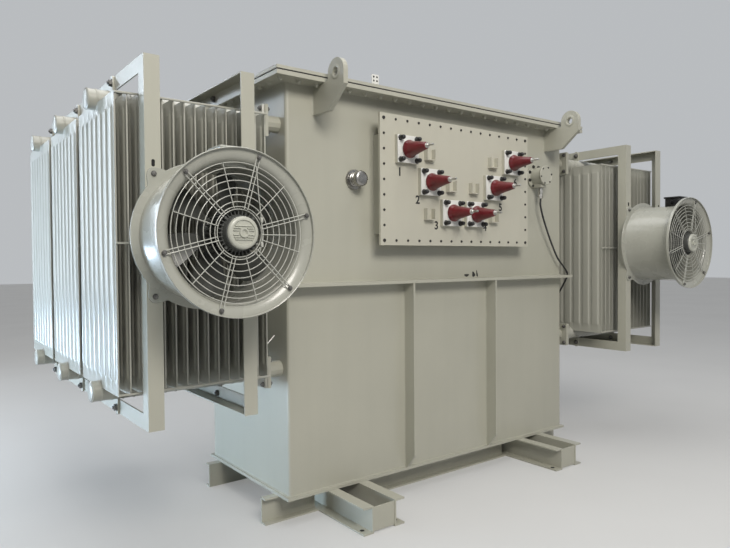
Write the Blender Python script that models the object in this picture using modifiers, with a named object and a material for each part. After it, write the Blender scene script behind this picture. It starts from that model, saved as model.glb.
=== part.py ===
"""Oil-filled power transformer with radiator banks, two cooling fans and a dead-front bushing panel.

Metres, +Z up, +X along the long front side, the front facing -Y.
The origin lies on the floor under the middle of the whole object.
"""

import math

import bmesh
import bpy
from mathutils import Matrix, Vector

# Clearances and overruns
SEAT_GAP = 0.0003
FUSE_DEPTH = 0.002
CUT_OVERRUN = 0.010
MERGE_DISTANCE = 0.00001

# Tank
TANK_LENGTH = 2.148
TANK_DEPTH = 0.884
TANK_HEIGHT = 1.998
TANK_CORNER_RADIUS = 0.015
BASE_PLATE_THICKNESS = 0.015
BASE_PLATE_OVERHANG = 0.015
TANK_FLANGE_THICKNESS = 0.020
TANK_FLANGE_OVERHANG = 0.1025
GASKET_THICKNESS = 0.006
GASKET_INSET = 0.004
COVER_THICKNESS = 0.015

# Flat bars welded round and down the tank walls
LEDGE_BELOW_PANEL = 0.1875
LEDGE_THICKNESS = 0.016
LEDGE_DEPTH = 0.080
LEDGE_OVERHANG = 0.022
STIFFENER_SPREAD_SHARE = 0.3073
STIFFENER_THICKNESS = 0.012
STIFFENER_DEPTH = 0.078
STIFFENER_CHAMFER_HEIGHT = 0.075

# Skid of rolled channels
SKID_HEIGHT = 0.130
CHANNEL_WALL = 0.008
FOOT_INSET = 0.343
FOOT_WEB_SPREAD = 0.130
FOOT_FLANGE_WIDTH = 0.060
FOOT_OVERHANG = 0.306
FOOT_END_SETBACK = 0.004
RAIL_WEB_SPREAD = 0.625
RAIL_FLANGE_WIDTH = 0.044
RAIL_OVERHANG = 0.087

# Lifting lugs
LUG_INSET = 0.1665
LUG_THICKNESS = 0.025
LUG_EYE_REACH = 0.198
LUG_EYE_DROP = 0.013
LUG_EYE_RADIUS = 0.065
LUG_HOLE_RADIUS = 0.020
LUG_SHOULDER_DROP = 0.067
LUG_WELD_HEIGHT = 0.140
LUG_FOOT_REACH = 0.138
LUG_EYE_STEPS = 12

# Upright tab bolted on the cover near its front edge
TAB_INSET = 0.507
TAB_SETBACK = 0.050
TAB_WIDTH = 0.045
TAB_HEIGHT = 0.067
TAB_SHEET = 0.004
TAB_FOOT_DEPTH = 0.032

# Bushing panel and its throat
PANEL_WIDTH = 1.178
PANEL_HEIGHT = 0.682
PANEL_TOP_DROP = 0.1141
PANEL_CENTRE_X = 0.010
PANEL_THICKNESS = 0.014
PANEL_PROUD = 0.100
THROAT_SIDE_INSET = 0.036
THROAT_TOP_INSET = 0.100
THROAT_BOTTOM_INSET = 0.060

# Bushings and their parking stands
BUSHING_INNER_OFFSET = 0.094
BUSHING_STEP_X = 0.162
BUSHING_ABOVE_EDGE = 0.1815
BUSHING_STEP_Z = 0.161
BOSS_THICKNESS = 0.018
BUSHING_FLANGE_SIZE = 0.145
BUSHING_FLANGE_THICKNESS = 0.009
BUSHING_COLLAR_RADIUS = 0.047
BUSHING_COLLAR_LENGTH = 0.022
BUSHING_CONE_ROOT_RADIUS = 0.039
BUSHING_CONE_TIP_RADIUS = 0.019
BUSHING_CONE_LENGTH = 0.122
BUSHING_PIN_RADIUS = 0.009
BUSHING_PIN_LENGTH = 0.047
BUSHING_STEPS = 12
STUD_CAP_SPREAD = 0.056
STUD_CAP_RADIUS = 0.011
STUD_CAP_LENGTH = 0.028
STUD_CAP_SIDES = 8
STAND_WIDTH = 0.062
STAND_HEIGHT = 0.062
STAND_DROP = 0.012
STAND_SHEET = 0.005
STAND_REACH = 0.030
STAND_OFFSET = 0.164

# Round plug and gauge on the front wall, placed from the tank's ends and the panel's lower edge
PLUG_INSET = 0.399
PLUG_ABOVE_EDGE = 0.3385
PLUG_FLANGE_RADIUS = 0.052
PLUG_FLANGE_THICKNESS = 0.014
PLUG_CAP_RADIUS = 0.036
PLUG_CAP_LENGTH = 0.064
PLUG_CAP_SHOULDER = 0.010
PLUG_CAP_TOP_RADIUS = 0.029
GAUGE_INSET = 0.284
GAUGE_ABOVE_EDGE = 0.4605
GAUGE_FLANGE_RADIUS = 0.078
GAUGE_FLANGE_THICKNESS = 0.014
GAUGE_BODY_RADIUS = 0.056
GAUGE_BODY_LENGTH = 0.076
GAUGE_FACE_RADIUS = 0.062
GAUGE_FACE_THICKNESS = 0.010
GAUGE_GLAND_RADIUS = 0.015
GAUGE_GLAND_LENGTH = 0.092

# Gauge cable round the right-hand corner: distances beyond the tank's end and off its front wall,
# and heights above the middle ledge
CABLE_RADIUS = 0.006
CABLE_POINTS = (
    (-0.284, 0.0523, 0.488),
    (-0.284, 0.0523, 0.455),
    (-0.250, 0.050, 0.370),
    (-0.175, 0.045, 0.240),
    (-0.090, 0.040, 0.120),
    (-0.018, 0.042, 0.052),
    (0.032, 0.034, 0.002),
    (0.044, 0.000, -0.055),
    (0.056, -0.045, -0.115),
    (0.064, -0.090, -0.168),
    (0.060, -0.115, -0.179),
    (0.048, -0.120, -0.180),
)
CABLE_STEPS = 4
CABLE_GLAND_RADIUS = 0.011
CABLE_GLAND_LENGTH = 0.034

# Radiators
PANEL_COUNT = 15
PANEL_PITCH = 0.045
INNER_PANEL_DISTANCE = 0.210
FIN_WIDTH = 0.540
FIN_THICKNESS = 0.012
FIN_LENGTH = 1.156
FIN_TOP_DROP = 0.2286
HEADER_RADIUS = 0.0445
HEADER_SIDES = 6
HEADER_OVERHANG = 0.040
HEADER_BEYOND_FIN = 0.018
RADIATOR_FRONT = 0.182
RADIATOR_PITCH = 0.594
RADIATOR_COUNT = 3
FLUTE_COUNT = 7
FLUTE_MARGIN = 0.018
FLUTE_GAP_SHARE = 0.30
FLUTE_PROUD = 0.004
FLUTE_END_SETBACK = 0.045
FLUTE_END_SLOPE = 4.0

# Pipe stubs between the tank and the radiators
STUB_LENGTH = 0.102
STUB_RADIUS = 0.040
STUB_SIDES = 12
FLANGE_THICKNESS = 0.016
FLANGE_SIZE = 0.150
ELBOW_RUN = 0.130
ELBOW_BEND_RADIUS = 0.120
ELBOW_STEPS = 6

# Fan frames of angle steel
LEG_WIDTH = 0.060
LEG_DEPTH = 0.060
ANGLE_WALL = 0.006
RAIL_HEIGHT = 0.060
FRAME_FRONT = 0.2954
FRAME_INNER_DISTANCE = 0.3168
FRAME_OUTER_DISTANCE = 0.7667
FRAME_TAIL = 0.090

# Fans
FAN_DISTANCE = 0.5413
FAN_ABOVE_MIDDLE = 0.0317
COWL_RADIUS = 0.246
COWL_SHEET = 0.004
COWL_LENGTH = 0.330
COWL_BACK_FLANGE_RADIUS = 0.285
COWL_BACK_FLANGE_THICKNESS = 0.006
COWL_MOUTH_RADIUS = 0.299
COWL_MOUTH_LENGTH = 0.050
COWL_MOUTH_STEPS = 3
COWL_LIP = 0.012
COWL_STEPS = 32
COWL_LUG_RADIUS = 0.020
COWL_LUG_SPREAD_X = 0.183
COWL_LUG_SPREAD_Z = 0.229
TERMINAL_BOX_WIDTH = 0.110
TERMINAL_BOX_DEPTH = 0.110
TERMINAL_BOX_HEIGHT = 0.050
TERMINAL_BOX_SETBACK = 0.105
GUARD_WIRE = 0.005
GUARD_RING_RADII = (0.248, 0.163)
GUARD_HUB_RADIUS = 0.070
GUARD_SPOKES = 6
GUARD_SPOKE_GAP = 0.016
GUARD_FIRST_ANGLE = 74.5
GUARD_BOLT_RADIUS = 0.2796
GUARD_STEPS = 24
GUARD_SEAT_GAP = 0.0005
MOTOR_RADIUS = 0.063
MOTOR_LENGTH = 0.175
MOTOR_PROUD = 0.022
IMPELLER_GAP = 0.012
HUB_RADIUS = 0.070
HUB_LENGTH = 0.080
SHAFT_RADIUS = 0.012
BLADE_COUNT = 6
BLADE_TIP_GAP = 0.008
BLADE_ROOT_CHORD = 0.090
BLADE_TIP_CHORD = 0.135
BLADE_ROOT_PITCH = 52.0
BLADE_TIP_PITCH = 28.0
BLADE_THICKNESS = 0.003
BLADE_STATIONS = 5

# Heights and reaches worked out from the sizes above
TANK_BOTTOM = SKID_HEIGHT + BASE_PLATE_THICKNESS + 2 * SEAT_GAP
TANK_TOP = TANK_BOTTOM + TANK_HEIGHT + TANK_FLANGE_THICKNESS
HALF_LENGTH = TANK_LENGTH / 2
HALF_DEPTH = TANK_DEPTH / 2
STIFFENER_SPREAD = STIFFENER_SPREAD_SHARE * TANK_LENGTH
FOOT_SPACING = TANK_LENGTH - 2 * FOOT_INSET
LUG_SPREAD = TANK_LENGTH - 2 * LUG_INSET
PANEL_BOTTOM_HEIGHT = TANK_TOP - PANEL_TOP_DROP - PANEL_HEIGHT
LEDGE_TOP_HEIGHT = PANEL_BOTTOM_HEIGHT - LEDGE_BELOW_PANEL
BUSHING_LOWER_HEIGHT = PANEL_BOTTOM_HEIGHT + BUSHING_ABOVE_EDGE
PLUG_OFFSET_X = HALF_LENGTH - PLUG_INSET
PLUG_HEIGHT = PANEL_BOTTOM_HEIGHT + PLUG_ABOVE_EDGE
GAUGE_OFFSET_X = HALF_LENGTH - GAUGE_INSET
GAUGE_HEIGHT = PANEL_BOTTOM_HEIGHT + GAUGE_ABOVE_EDGE
HALF_RISE = FIN_LENGTH / 2
FIN_MIDDLE = TANK_TOP - FIN_TOP_DROP - HALF_RISE
HEADER_RISE = HALF_RISE + HEADER_BEYOND_FIN
LOWER_HEADER_HEIGHT = FIN_MIDDLE - HEADER_RISE
UPPER_HEADER_HEIGHT = FIN_MIDDLE + HEADER_RISE
FAN_HEIGHT = FIN_MIDDLE + FAN_ABOVE_MIDDLE
FRAME_TOP = UPPER_HEADER_HEIGHT + HEADER_RADIUS + SEAT_GAP + RAIL_HEIGHT
FRAME_BOTTOM = LOWER_HEADER_HEIGHT - HEADER_RADIUS - SEAT_GAP - RAIL_HEIGHT
RADIATOR_FIRST_Y = -HALF_DEPTH - RADIATOR_FRONT + FIN_WIDTH / 2
RADIATOR_LAST_Y = RADIATOR_FIRST_Y + (RADIATOR_COUNT - 1) * RADIATOR_PITCH
FRAME_FRONT_Y = -HALF_DEPTH - FRAME_FRONT
COWL_BACK_Y = FRAME_FRONT_Y - SEAT_GAP
COWL_FRONT_Y = COWL_BACK_Y - COWL_LENGTH
MOTOR_FRONT_Y = COWL_FRONT_Y - MOTOR_PROUD
REACH_FRONT = -MOTOR_FRONT_Y
REACH_BACK = max(RADIATOR_LAST_Y + FIN_WIDTH / 2, RADIATOR_LAST_Y + FRAME_TAIL)
CENTRE_SHIFT = (REACH_FRONT - REACH_BACK) / 2

PAINT = (0.56, 0.56, 0.50, 1.0)
PALE_PAINT = (0.66, 0.67, 0.64, 1.0)


def clear_scene():
    for leftover in list(bpy.data.objects):
        bpy.data.objects.remove(leftover, do_unlink=True)


def make_collection(name):
    collection = bpy.data.collections.new(name)
    bpy.context.scene.collection.children.link(collection)
    return collection


def make_material(name, colour, roughness, metallic):
    material = bpy.data.materials.new(name)
    material.use_nodes = True
    shader = material.node_tree.nodes["Principled BSDF"]
    shader.inputs["Base Color"].default_value = colour
    shader.inputs["Roughness"].default_value = roughness
    shader.inputs["Metallic"].default_value = metallic
    return material


clear_scene()
PARTS = make_collection("power_transformer")
ORIGIN = bpy.data.objects.new("floor_origin", None)
PARTS.objects.link(ORIGIN)
ORIGIN.location = (0.0, CENTRE_SHIFT, 0.0)


def finish_paint():
    return make_material("tank_paint", PAINT, 0.45, 0.0)


def finish_radiator():
    return make_material("radiator_paint", PALE_PAINT, 0.40, 0.0)


def finish_gasket():
    return make_material("gasket_rubber", (0.03, 0.03, 0.03, 1.0), 0.8, 0.0)


def finish_epoxy():
    return make_material("bushing_epoxy", (0.33, 0.03, 0.03, 1.0), 0.35, 0.0)


def finish_steel():
    return make_material("bright_steel", (0.60, 0.60, 0.58, 1.0), 0.30, 1.0)


def finish_wire():
    return make_material("guard_wire", (0.62, 0.63, 0.60, 1.0), 0.40, 0.0)


def finish_blade():
    return make_material("fan_blade", (0.30, 0.32, 0.31, 1.0), 0.50, 0.0)


TANK_PAINT = finish_paint()
RADIATOR_PAINT = finish_radiator()
GASKET_RUBBER = finish_gasket()
BUSHING_EPOXY = finish_epoxy()
BRIGHT_STEEL = finish_steel()
GUARD_PAINT = finish_wire()
BLADE_PAINT = finish_blade()


def mesh_from(form):
    """Turn a bmesh into a mesh and free it."""
    mesh = bpy.data.meshes.new("form")
    form.to_mesh(mesh)
    form.free()
    return mesh


def box_mesh(low, high):
    """A box between two corners."""
    size = [h - l for l, h in zip(low, high)]
    middle = [(h + l) / 2 for l, h in zip(low, high)]
    form = bmesh.new()
    bmesh.ops.create_cube(form, size=1.0)
    bmesh.ops.scale(form, vec=Vector(size), verts=form.verts)
    bmesh.ops.translate(form, vec=Vector(middle), verts=form.verts)
    return mesh_from(form)


def rod_mesh(radius, start, end, sides, turn=0.0):
    """A round or many-sided bar from start to end; turn rolls it about its own axis."""
    along = Vector(end) - Vector(start)
    form = bmesh.new()
    bmesh.ops.create_cone(form, cap_ends=True, segments=sides, radius1=radius, radius2=radius,
                          depth=along.length)
    bmesh.ops.rotate(form, cent=Vector(), matrix=Matrix.Rotation(turn, 3, "Z"), verts=form.verts)
    tilt = Vector((0.0, 0.0, 1.0)).rotation_difference(along.normalized()).to_matrix()
    bmesh.ops.rotate(form, cent=Vector(), matrix=tilt, verts=form.verts)
    bmesh.ops.translate(form, vec=(Vector(start) + Vector(end)) / 2, verts=form.verts)
    return mesh_from(form)


def evaluated_mesh(source):
    """The mesh that an object's modifiers or curve settings make, in world space."""
    bpy.context.view_layer.update()
    depsgraph = bpy.context.evaluated_depsgraph_get()
    mesh = bpy.data.meshes.new_from_object(source.evaluated_get(depsgraph))
    form = bmesh.new()
    form.from_mesh(mesh)
    bmesh.ops.remove_doubles(form, verts=form.verts, dist=MERGE_DISTANCE)
    bmesh.ops.recalc_face_normals(form, faces=form.faces)
    bmesh.ops.transform(form, matrix=source.matrix_world, verts=form.verts)
    bpy.data.objects.remove(source, do_unlink=True)
    return mesh_from(form)


def outline_mesh(points, thickness, axis, centre):
    """A flat outline, filled and extruded evenly about centre along X, Y or Z."""
    curve = bpy.data.curves.new("outline", "CURVE")
    curve.dimensions = "2D"
    curve.fill_mode = "BOTH"
    curve.extrude = thickness / 2
    spline = curve.splines.new("POLY")
    spline.points.add(len(points) - 1)
    for slot, (across, up) in zip(spline.points, points):
        slot.co = (across, up, 0.0, 1.0)
    spline.use_cyclic_u = True
    shape = bpy.data.objects.new("outline", curve)
    bpy.context.scene.collection.objects.link(shape)
    turns = {
        "X": Matrix(((0, 0, 1, 0), (1, 0, 0, 0), (0, 1, 0, 0), (0, 0, 0, 1))),
        "Y": Matrix(((1, 0, 0, 0), (0, 0, -1, 0), (0, 1, 0, 0), (0, 0, 0, 1))),
        "Z": Matrix.Identity(4),
    }
    shape.matrix_world = Matrix.Translation(Vector(centre)) @ turns[axis]
    return evaluated_mesh(shape)


def turned_mesh(profile, steps, closed=False):
    """A profile of (radius, height) points, top to bottom down its outer side, turned about Z."""
    form = bmesh.new()
    ring = [form.verts.new((radius, 0.0, height)) for radius, height in profile]
    for first, second in zip(ring, ring[1:]):
        form.edges.new((first, second))
    if closed:
        form.edges.new((ring[-1], ring[0]))
    shape = bpy.data.objects.new("turned", mesh_from(form))
    bpy.context.scene.collection.objects.link(shape)
    screw = shape.modifiers.new("turn", "SCREW")
    screw.steps = steps
    screw.render_steps = steps
    screw.use_merge_vertices = True
    screw.merge_threshold = MERGE_DISTANCE
    return evaluated_mesh(shape)


def facing_front(mesh, centre):
    """Lay a shape turned about Z so that its top faces -Y, with its foot at centre."""
    mesh.transform(Matrix.Translation(Vector(centre)) @ Matrix.Rotation(math.pi / 2, 4, "X"))
    return mesh


def moved(mesh, offset):
    mesh.transform(Matrix.Translation(Vector(offset)))
    return mesh


def gathered(meshes):
    """Several bodies that don't touch, in one mesh."""
    form = bmesh.new()
    for mesh in meshes:
        form.from_mesh(mesh)
        bpy.data.meshes.remove(mesh)
    return mesh_from(form)


def combined(base, tool, operation):
    """One mesh after a Boolean of the tool on the base."""
    base_object = bpy.data.objects.new("base", base)
    tool_object = bpy.data.objects.new("tool", tool)
    for shape in (base_object, tool_object):
        bpy.context.scene.collection.objects.link(shape)
    cut = base_object.modifiers.new("cut", "BOOLEAN")
    cut.operation = operation
    cut.solver = "EXACT"
    cut.object = tool_object
    result = evaluated_mesh(base_object)
    bpy.data.objects.remove(tool_object, do_unlink=True)
    return result


def fused(*meshes):
    result = meshes[0]
    for mesh in meshes[1:]:
        result = combined(result, mesh, "UNION")
    return result


def cut_from(base, tool):
    return combined(base, tool, "DIFFERENCE")


def bevelled(mesh, width, segments, chosen):
    """Round the edges that the chosen test picks."""
    form = bmesh.new()
    form.from_mesh(mesh)
    edges = [edge for edge in form.edges if chosen(edge)]
    bmesh.ops.bevel(form, geom=edges, offset=width, segments=segments, profile=0.5, affect="EDGES")
    form.to_mesh(mesh)
    form.free()
    return mesh


def upright(edge):
    first, second = (vert.co for vert in edge.verts)
    return abs(first.z - second.z) > edge.calc_length() / 2


def add_part(name, mesh, material, smooth=False):
    """Link a finished piece, hung from the floor origin."""
    mesh.name = name
    mesh.materials.clear()
    mesh.materials.append(material)
    piece = bpy.data.objects.new(name, mesh)
    PARTS.objects.link(piece)
    piece.parent = ORIGIN
    if smooth:
        mesh.shade_smooth()
        mesh.set_sharp_from_angle(angle=math.radians(35.0))
    return piece


def sides():
    """Name and sign of the left and right ends."""
    return (("left", -1), ("right", 1))


def mirrored(mesh, sign):
    """The mesh as built for the right end, or its mirror image for the left."""
    if sign > 0:
        return mesh
    mesh.transform(Matrix.Scale(-1, 4, Vector((1.0, 0.0, 0.0))))
    mesh.flip_normals()
    return mesh


# Skid


def channel_outline(web_back, reach, height):
    """A channel section: web on one side, flanges reaching out from it."""
    sign = 1 if reach > 0 else -1
    wall = CHANNEL_WALL
    return [
        (web_back, 0.0),
        (web_back + reach, 0.0),
        (web_back + reach, wall),
        (web_back + sign * wall, wall),
        (web_back + sign * wall, height - wall),
        (web_back + reach, height - wall),
        (web_back + reach, height),
        (web_back, height),
    ]


def channel_along_y(web_back, reach, length):
    points = channel_outline(web_back, reach, SKID_HEIGHT)
    return outline_mesh(points, length, "Y", (0.0, 0.0, 0.0))


def channel_along_x(web_back, reach, start, end):
    points = channel_outline(web_back, reach, SKID_HEIGHT)
    return outline_mesh(points, end - start, "X", ((start + end) / 2, 0.0, 0.0))


def foot_tip_reach():
    """Distance from a foot's centre line to the tips of its flanges."""
    return FOOT_WEB_SPREAD / 2 + FOOT_FLANGE_WIDTH


def make_foot(side, sign):
    """Two channels back to back with end plates, and the longitudinal stubs welded outside."""
    half_length = HALF_DEPTH + FOOT_OVERHANG
    half_spread = FOOT_WEB_SPREAD / 2
    body = channel_along_y(half_spread, FOOT_FLANGE_WIDTH, 2 * half_length)
    twin = channel_along_y(-half_spread, -FOOT_FLANGE_WIDTH, 2 * half_length)
    plates = []
    for end in (-1, 1):
        outer = end * (half_length - FOOT_END_SETBACK)
        inner = outer - end * CHANNEL_WALL
        reach = half_spread + FUSE_DEPTH
        low = (-reach, min(outer, inner), CHANNEL_WALL)
        high = (reach, max(outer, inner), SKID_HEIGHT - CHANNEL_WALL)
        plates.append(box_mesh(low, high))
    rail_start = foot_tip_reach() - FUSE_DEPTH
    rail_end = HALF_LENGTH + RAIL_OVERHANG - FOOT_SPACING / 2
    stubs = []
    for end in (-1, 1):
        web_back = end * RAIL_WEB_SPREAD / 2
        stubs.append(channel_along_x(web_back, end * RAIL_FLANGE_WIDTH, rail_start, rail_end))
    body = fused(gathered([body, twin]), gathered(plates), gathered(stubs))
    body = moved(body, (FOOT_SPACING / 2, 0.0, 0.0))
    add_part("skid_foot_" + side, mirrored(body, sign), TANK_PAINT)


def make_middle_rail(name, end):
    reach = FOOT_SPACING / 2 - foot_tip_reach() - SEAT_GAP
    rail = channel_along_x(end * RAIL_WEB_SPREAD / 2, end * RAIL_FLANGE_WIDTH, -reach, reach)
    add_part(name, rail, TANK_PAINT)


def make_skid():
    for side, sign in sides():
        make_foot(side, sign)
    make_middle_rail("skid_rail_front", -1)
    make_middle_rail("skid_rail_back", 1)


# Tank


def make_base_plate():
    reach_x = HALF_LENGTH + BASE_PLATE_OVERHANG
    reach_y = HALF_DEPTH + BASE_PLATE_OVERHANG
    low = SKID_HEIGHT + SEAT_GAP
    plate = box_mesh((-reach_x, -reach_y, low), (reach_x, reach_y, low + BASE_PLATE_THICKNESS))
    add_part("base_plate", plate, TANK_PAINT)


def wall_stub(centre_y, height):
    """Pipe stub with a square flange on the right end wall."""
    start = HALF_LENGTH - FUSE_DEPTH
    end = HALF_LENGTH + STUB_LENGTH
    pipe = rod_mesh(STUB_RADIUS, (start, centre_y, height),
                    (end - FLANGE_THICKNESS / 2, centre_y, height), STUB_SIDES)
    half = FLANGE_SIZE / 2
    plate = box_mesh((end - FLANGE_THICKNESS, centre_y - half, height - half),
                     (end, centre_y + half, height + half))
    return fused(plate, pipe)


def elbow_route(height):
    """Points of the pipe from the rear radiator's flange, round a bend, into the back wall."""
    flange_x = HALF_LENGTH + STUB_LENGTH
    line_x = HALF_LENGTH - ELBOW_RUN
    bend = ELBOW_BEND_RADIUS
    points = [Vector((flange_x - FLANGE_THICKNESS / 2, RADIATOR_LAST_Y, height))]
    for step in range(ELBOW_STEPS + 1):
        angle = math.pi / 2 * step / ELBOW_STEPS
        points.append(Vector((line_x + bend - bend * math.sin(angle),
                              RADIATOR_LAST_Y - bend + bend * math.cos(angle), height)))
    points.append(Vector((line_x, HALF_DEPTH + SEAT_GAP, height)))
    return points


def pipe_mesh(points, radius):
    curve = bpy.data.curves.new("pipe", "CURVE")
    curve.dimensions = "3D"
    curve.bevel_depth = radius
    curve.bevel_resolution = 2
    curve.use_fill_caps = True
    spline = curve.splines.new("POLY")
    spline.points.add(len(points) - 1)
    for slot, point in zip(spline.points, points):
        slot.co = (point.x, point.y, point.z, 1.0)
    shape = bpy.data.objects.new("pipe", curve)
    bpy.context.scene.collection.objects.link(shape)
    return evaluated_mesh(shape)


def rear_elbow(height):
    """Flanged pipe that carries the rear radiator from the back wall."""
    pipe = pipe_mesh(elbow_route(height), STUB_RADIUS)
    half = FLANGE_SIZE / 2
    end = HALF_LENGTH + STUB_LENGTH
    plate = box_mesh((end - FLANGE_THICKNESS, RADIATOR_LAST_Y - half, height - half),
                     (end, RADIATOR_LAST_Y + half, height + half))
    return fused(plate, pipe)


def make_elbows():
    for level, height in (("lower", LOWER_HEADER_HEIGHT), ("upper", UPPER_HEADER_HEIGHT)):
        shape = rear_elbow(height)
        for side, sign in sides():
            name = "rear_elbow_" + side + "_" + level
            add_part(name, mirrored(shape.copy(), sign), TANK_PAINT, smooth=True)


def wall_stubs():
    """The four short stubs of the right end wall, as bodies that don't touch each other."""
    pieces = []
    for height in (LOWER_HEADER_HEIGHT, UPPER_HEADER_HEIGHT):
        for index in range(RADIATOR_COUNT - 1):
            pieces.append(wall_stub(RADIATOR_FIRST_Y + index * RADIATOR_PITCH, height))
    return gathered(pieces)


def make_tank():
    walls = box_mesh((-HALF_LENGTH, -HALF_DEPTH, TANK_BOTTOM),
                     (HALF_LENGTH, HALF_DEPTH, TANK_TOP - TANK_FLANGE_THICKNESS / 2))
    walls = bevelled(walls, TANK_CORNER_RADIUS, 3, upright)
    reach_x = HALF_LENGTH + TANK_FLANGE_OVERHANG
    reach_y = HALF_DEPTH + TANK_FLANGE_OVERHANG
    flange = box_mesh((-reach_x, -reach_y, TANK_TOP - TANK_FLANGE_THICKNESS),
                      (reach_x, reach_y, TANK_TOP))
    right = wall_stubs()
    left = mirrored(right.copy(), -1)
    body = fused(walls, flange, right, left)
    add_part("tank_body", body, TANK_PAINT)


def make_gasket():
    reach_x = HALF_LENGTH + TANK_FLANGE_OVERHANG - GASKET_INSET
    reach_y = HALF_DEPTH + TANK_FLANGE_OVERHANG - GASKET_INSET
    low = TANK_TOP + SEAT_GAP
    sheet = box_mesh((-reach_x, -reach_y, low), (reach_x, reach_y, low + GASKET_THICKNESS))
    add_part("cover_gasket", sheet, GASKET_RUBBER)


def cover_bottom():
    return TANK_TOP + GASKET_THICKNESS + 2 * SEAT_GAP


def make_cover():
    reach_x = HALF_LENGTH + TANK_FLANGE_OVERHANG
    reach_y = HALF_DEPTH + TANK_FLANGE_OVERHANG
    low = cover_bottom()
    plate = box_mesh((-reach_x, -reach_y, low), (reach_x, reach_y, low + COVER_THICKNESS))
    add_part("tank_cover", plate, TANK_PAINT)


def make_ledges():
    """Flat bars welded along the front and back walls at mid height."""
    reach = HALF_LENGTH + LEDGE_OVERHANG
    low = LEDGE_TOP_HEIGHT - LEDGE_THICKNESS
    for wall, facing in (("front", -1), ("back", 1)):
        edges = (facing * (HALF_DEPTH + SEAT_GAP), facing * (HALF_DEPTH + LEDGE_DEPTH))
        bar = box_mesh((-reach, min(edges), low), (reach, max(edges), LEDGE_TOP_HEIGHT))
        add_part("mid_ledge_" + wall, bar, TANK_PAINT)


def stiffener_outline():
    """Side view of one flat bar: distance from the wall against height."""
    top = LEDGE_TOP_HEIGHT - LEDGE_THICKNESS - SEAT_GAP
    bottom = TANK_BOTTOM
    return [
        (SEAT_GAP, bottom),
        (BASE_PLATE_OVERHANG, bottom),
        (STIFFENER_DEPTH, bottom + STIFFENER_CHAMFER_HEIGHT),
        (STIFFENER_DEPTH, top),
        (SEAT_GAP, top),
    ]


def make_stiffeners():
    for wall, facing in (("front", -1), ("back", 1)):
        points = [(facing * (HALF_DEPTH + out), up) for out, up in stiffener_outline()]
        for side, sign in sides():
            centre = (sign * STIFFENER_SPREAD / 2, 0.0, 0.0)
            bar = outline_mesh(points, STIFFENER_THICKNESS, "X", centre)
            add_part("stiffener_" + wall + "_" + side, bar, TANK_PAINT)


def cover_top():
    return cover_bottom() + COVER_THICKNESS


def lug_eye_height():
    return cover_top() - LUG_EYE_DROP


def lug_outline():
    """Side view of a lifting lug: distance from the wall against height."""
    under_flange = TANK_TOP - TANK_FLANGE_THICKNESS - SEAT_GAP
    foot = under_flange - LUG_WELD_HEIGHT
    eye_height = lug_eye_height()
    outer = LUG_EYE_REACH + LUG_EYE_RADIUS
    points = [(SEAT_GAP, under_flange), (SEAT_GAP, foot), (LUG_FOOT_REACH, foot)]
    points.append((outer, eye_height - LUG_SHOULDER_DROP))
    for step in range(LUG_EYE_STEPS + 1):
        angle = math.pi * step / LUG_EYE_STEPS
        points.append((LUG_EYE_REACH + LUG_EYE_RADIUS * math.cos(angle),
                       eye_height + LUG_EYE_RADIUS * math.sin(angle)))
    points.append((LUG_EYE_REACH - LUG_EYE_RADIUS, under_flange))
    return points


def make_lugs():
    eye_height = lug_eye_height()
    for wall, facing in (("front", -1), ("back", 1)):
        for side, sign in sides():
            centre_x = sign * LUG_SPREAD / 2
            points = [(facing * (HALF_DEPTH + out), up) for out, up in lug_outline()]
            plate = outline_mesh(points, LUG_THICKNESS, "X", (centre_x, 0.0, 0.0))
            eye_y = facing * (HALF_DEPTH + LUG_EYE_REACH)
            reach = LUG_THICKNESS / 2 + CUT_OVERRUN
            drill = rod_mesh(LUG_HOLE_RADIUS, (centre_x - reach, eye_y, eye_height),
                             (centre_x + reach, eye_y, eye_height), LUG_EYE_STEPS)
            add_part("lifting_lug_" + wall + "_" + side, cut_from(plate, drill), TANK_PAINT)


def make_cover_tab():
    """Flat steel tab standing on the cover, bent from an angle."""
    low = cover_top() + SEAT_GAP
    front = -HALF_DEPTH - TAB_SETBACK
    outline = [
        (front, low),
        (front + TAB_FOOT_DEPTH, low),
        (front + TAB_FOOT_DEPTH, low + TAB_SHEET),
        (front + TAB_SHEET, low + TAB_SHEET),
        (front + TAB_SHEET, low + TAB_HEIGHT),
        (front, low + TAB_HEIGHT),
    ]
    tab = outline_mesh(outline, TAB_WIDTH, "X", (TAB_INSET - HALF_LENGTH, 0.0, 0.0))
    add_part("cover_tab", tab, BRIGHT_STEEL)


# Bushing panel


def panel_front_y():
    return -HALF_DEPTH - PANEL_PROUD


def make_throat():
    """Box welded to the front wall that the panel closes."""
    back = panel_front_y() + PANEL_THICKNESS + SEAT_GAP
    half = PANEL_WIDTH / 2 - THROAT_SIDE_INSET
    top = PANEL_BOTTOM_HEIGHT + PANEL_HEIGHT - THROAT_TOP_INSET
    bottom = PANEL_BOTTOM_HEIGHT + THROAT_BOTTOM_INSET
    throat = box_mesh((PANEL_CENTRE_X - half, back, bottom),
                      (PANEL_CENTRE_X + half, -HALF_DEPTH - SEAT_GAP, top))
    add_part("panel_throat", throat, TANK_PAINT)


def bushing_places():
    """Six places in a V: outer ones high, inner ones low."""
    places = []
    for side, sign in sides():
        for row in range(3):
            offset = sign * (BUSHING_INNER_OFFSET + row * BUSHING_STEP_X)
            height = BUSHING_LOWER_HEIGHT + row * BUSHING_STEP_Z
            places.append((side, sign, row, PANEL_CENTRE_X + offset, height))
    return places


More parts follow.
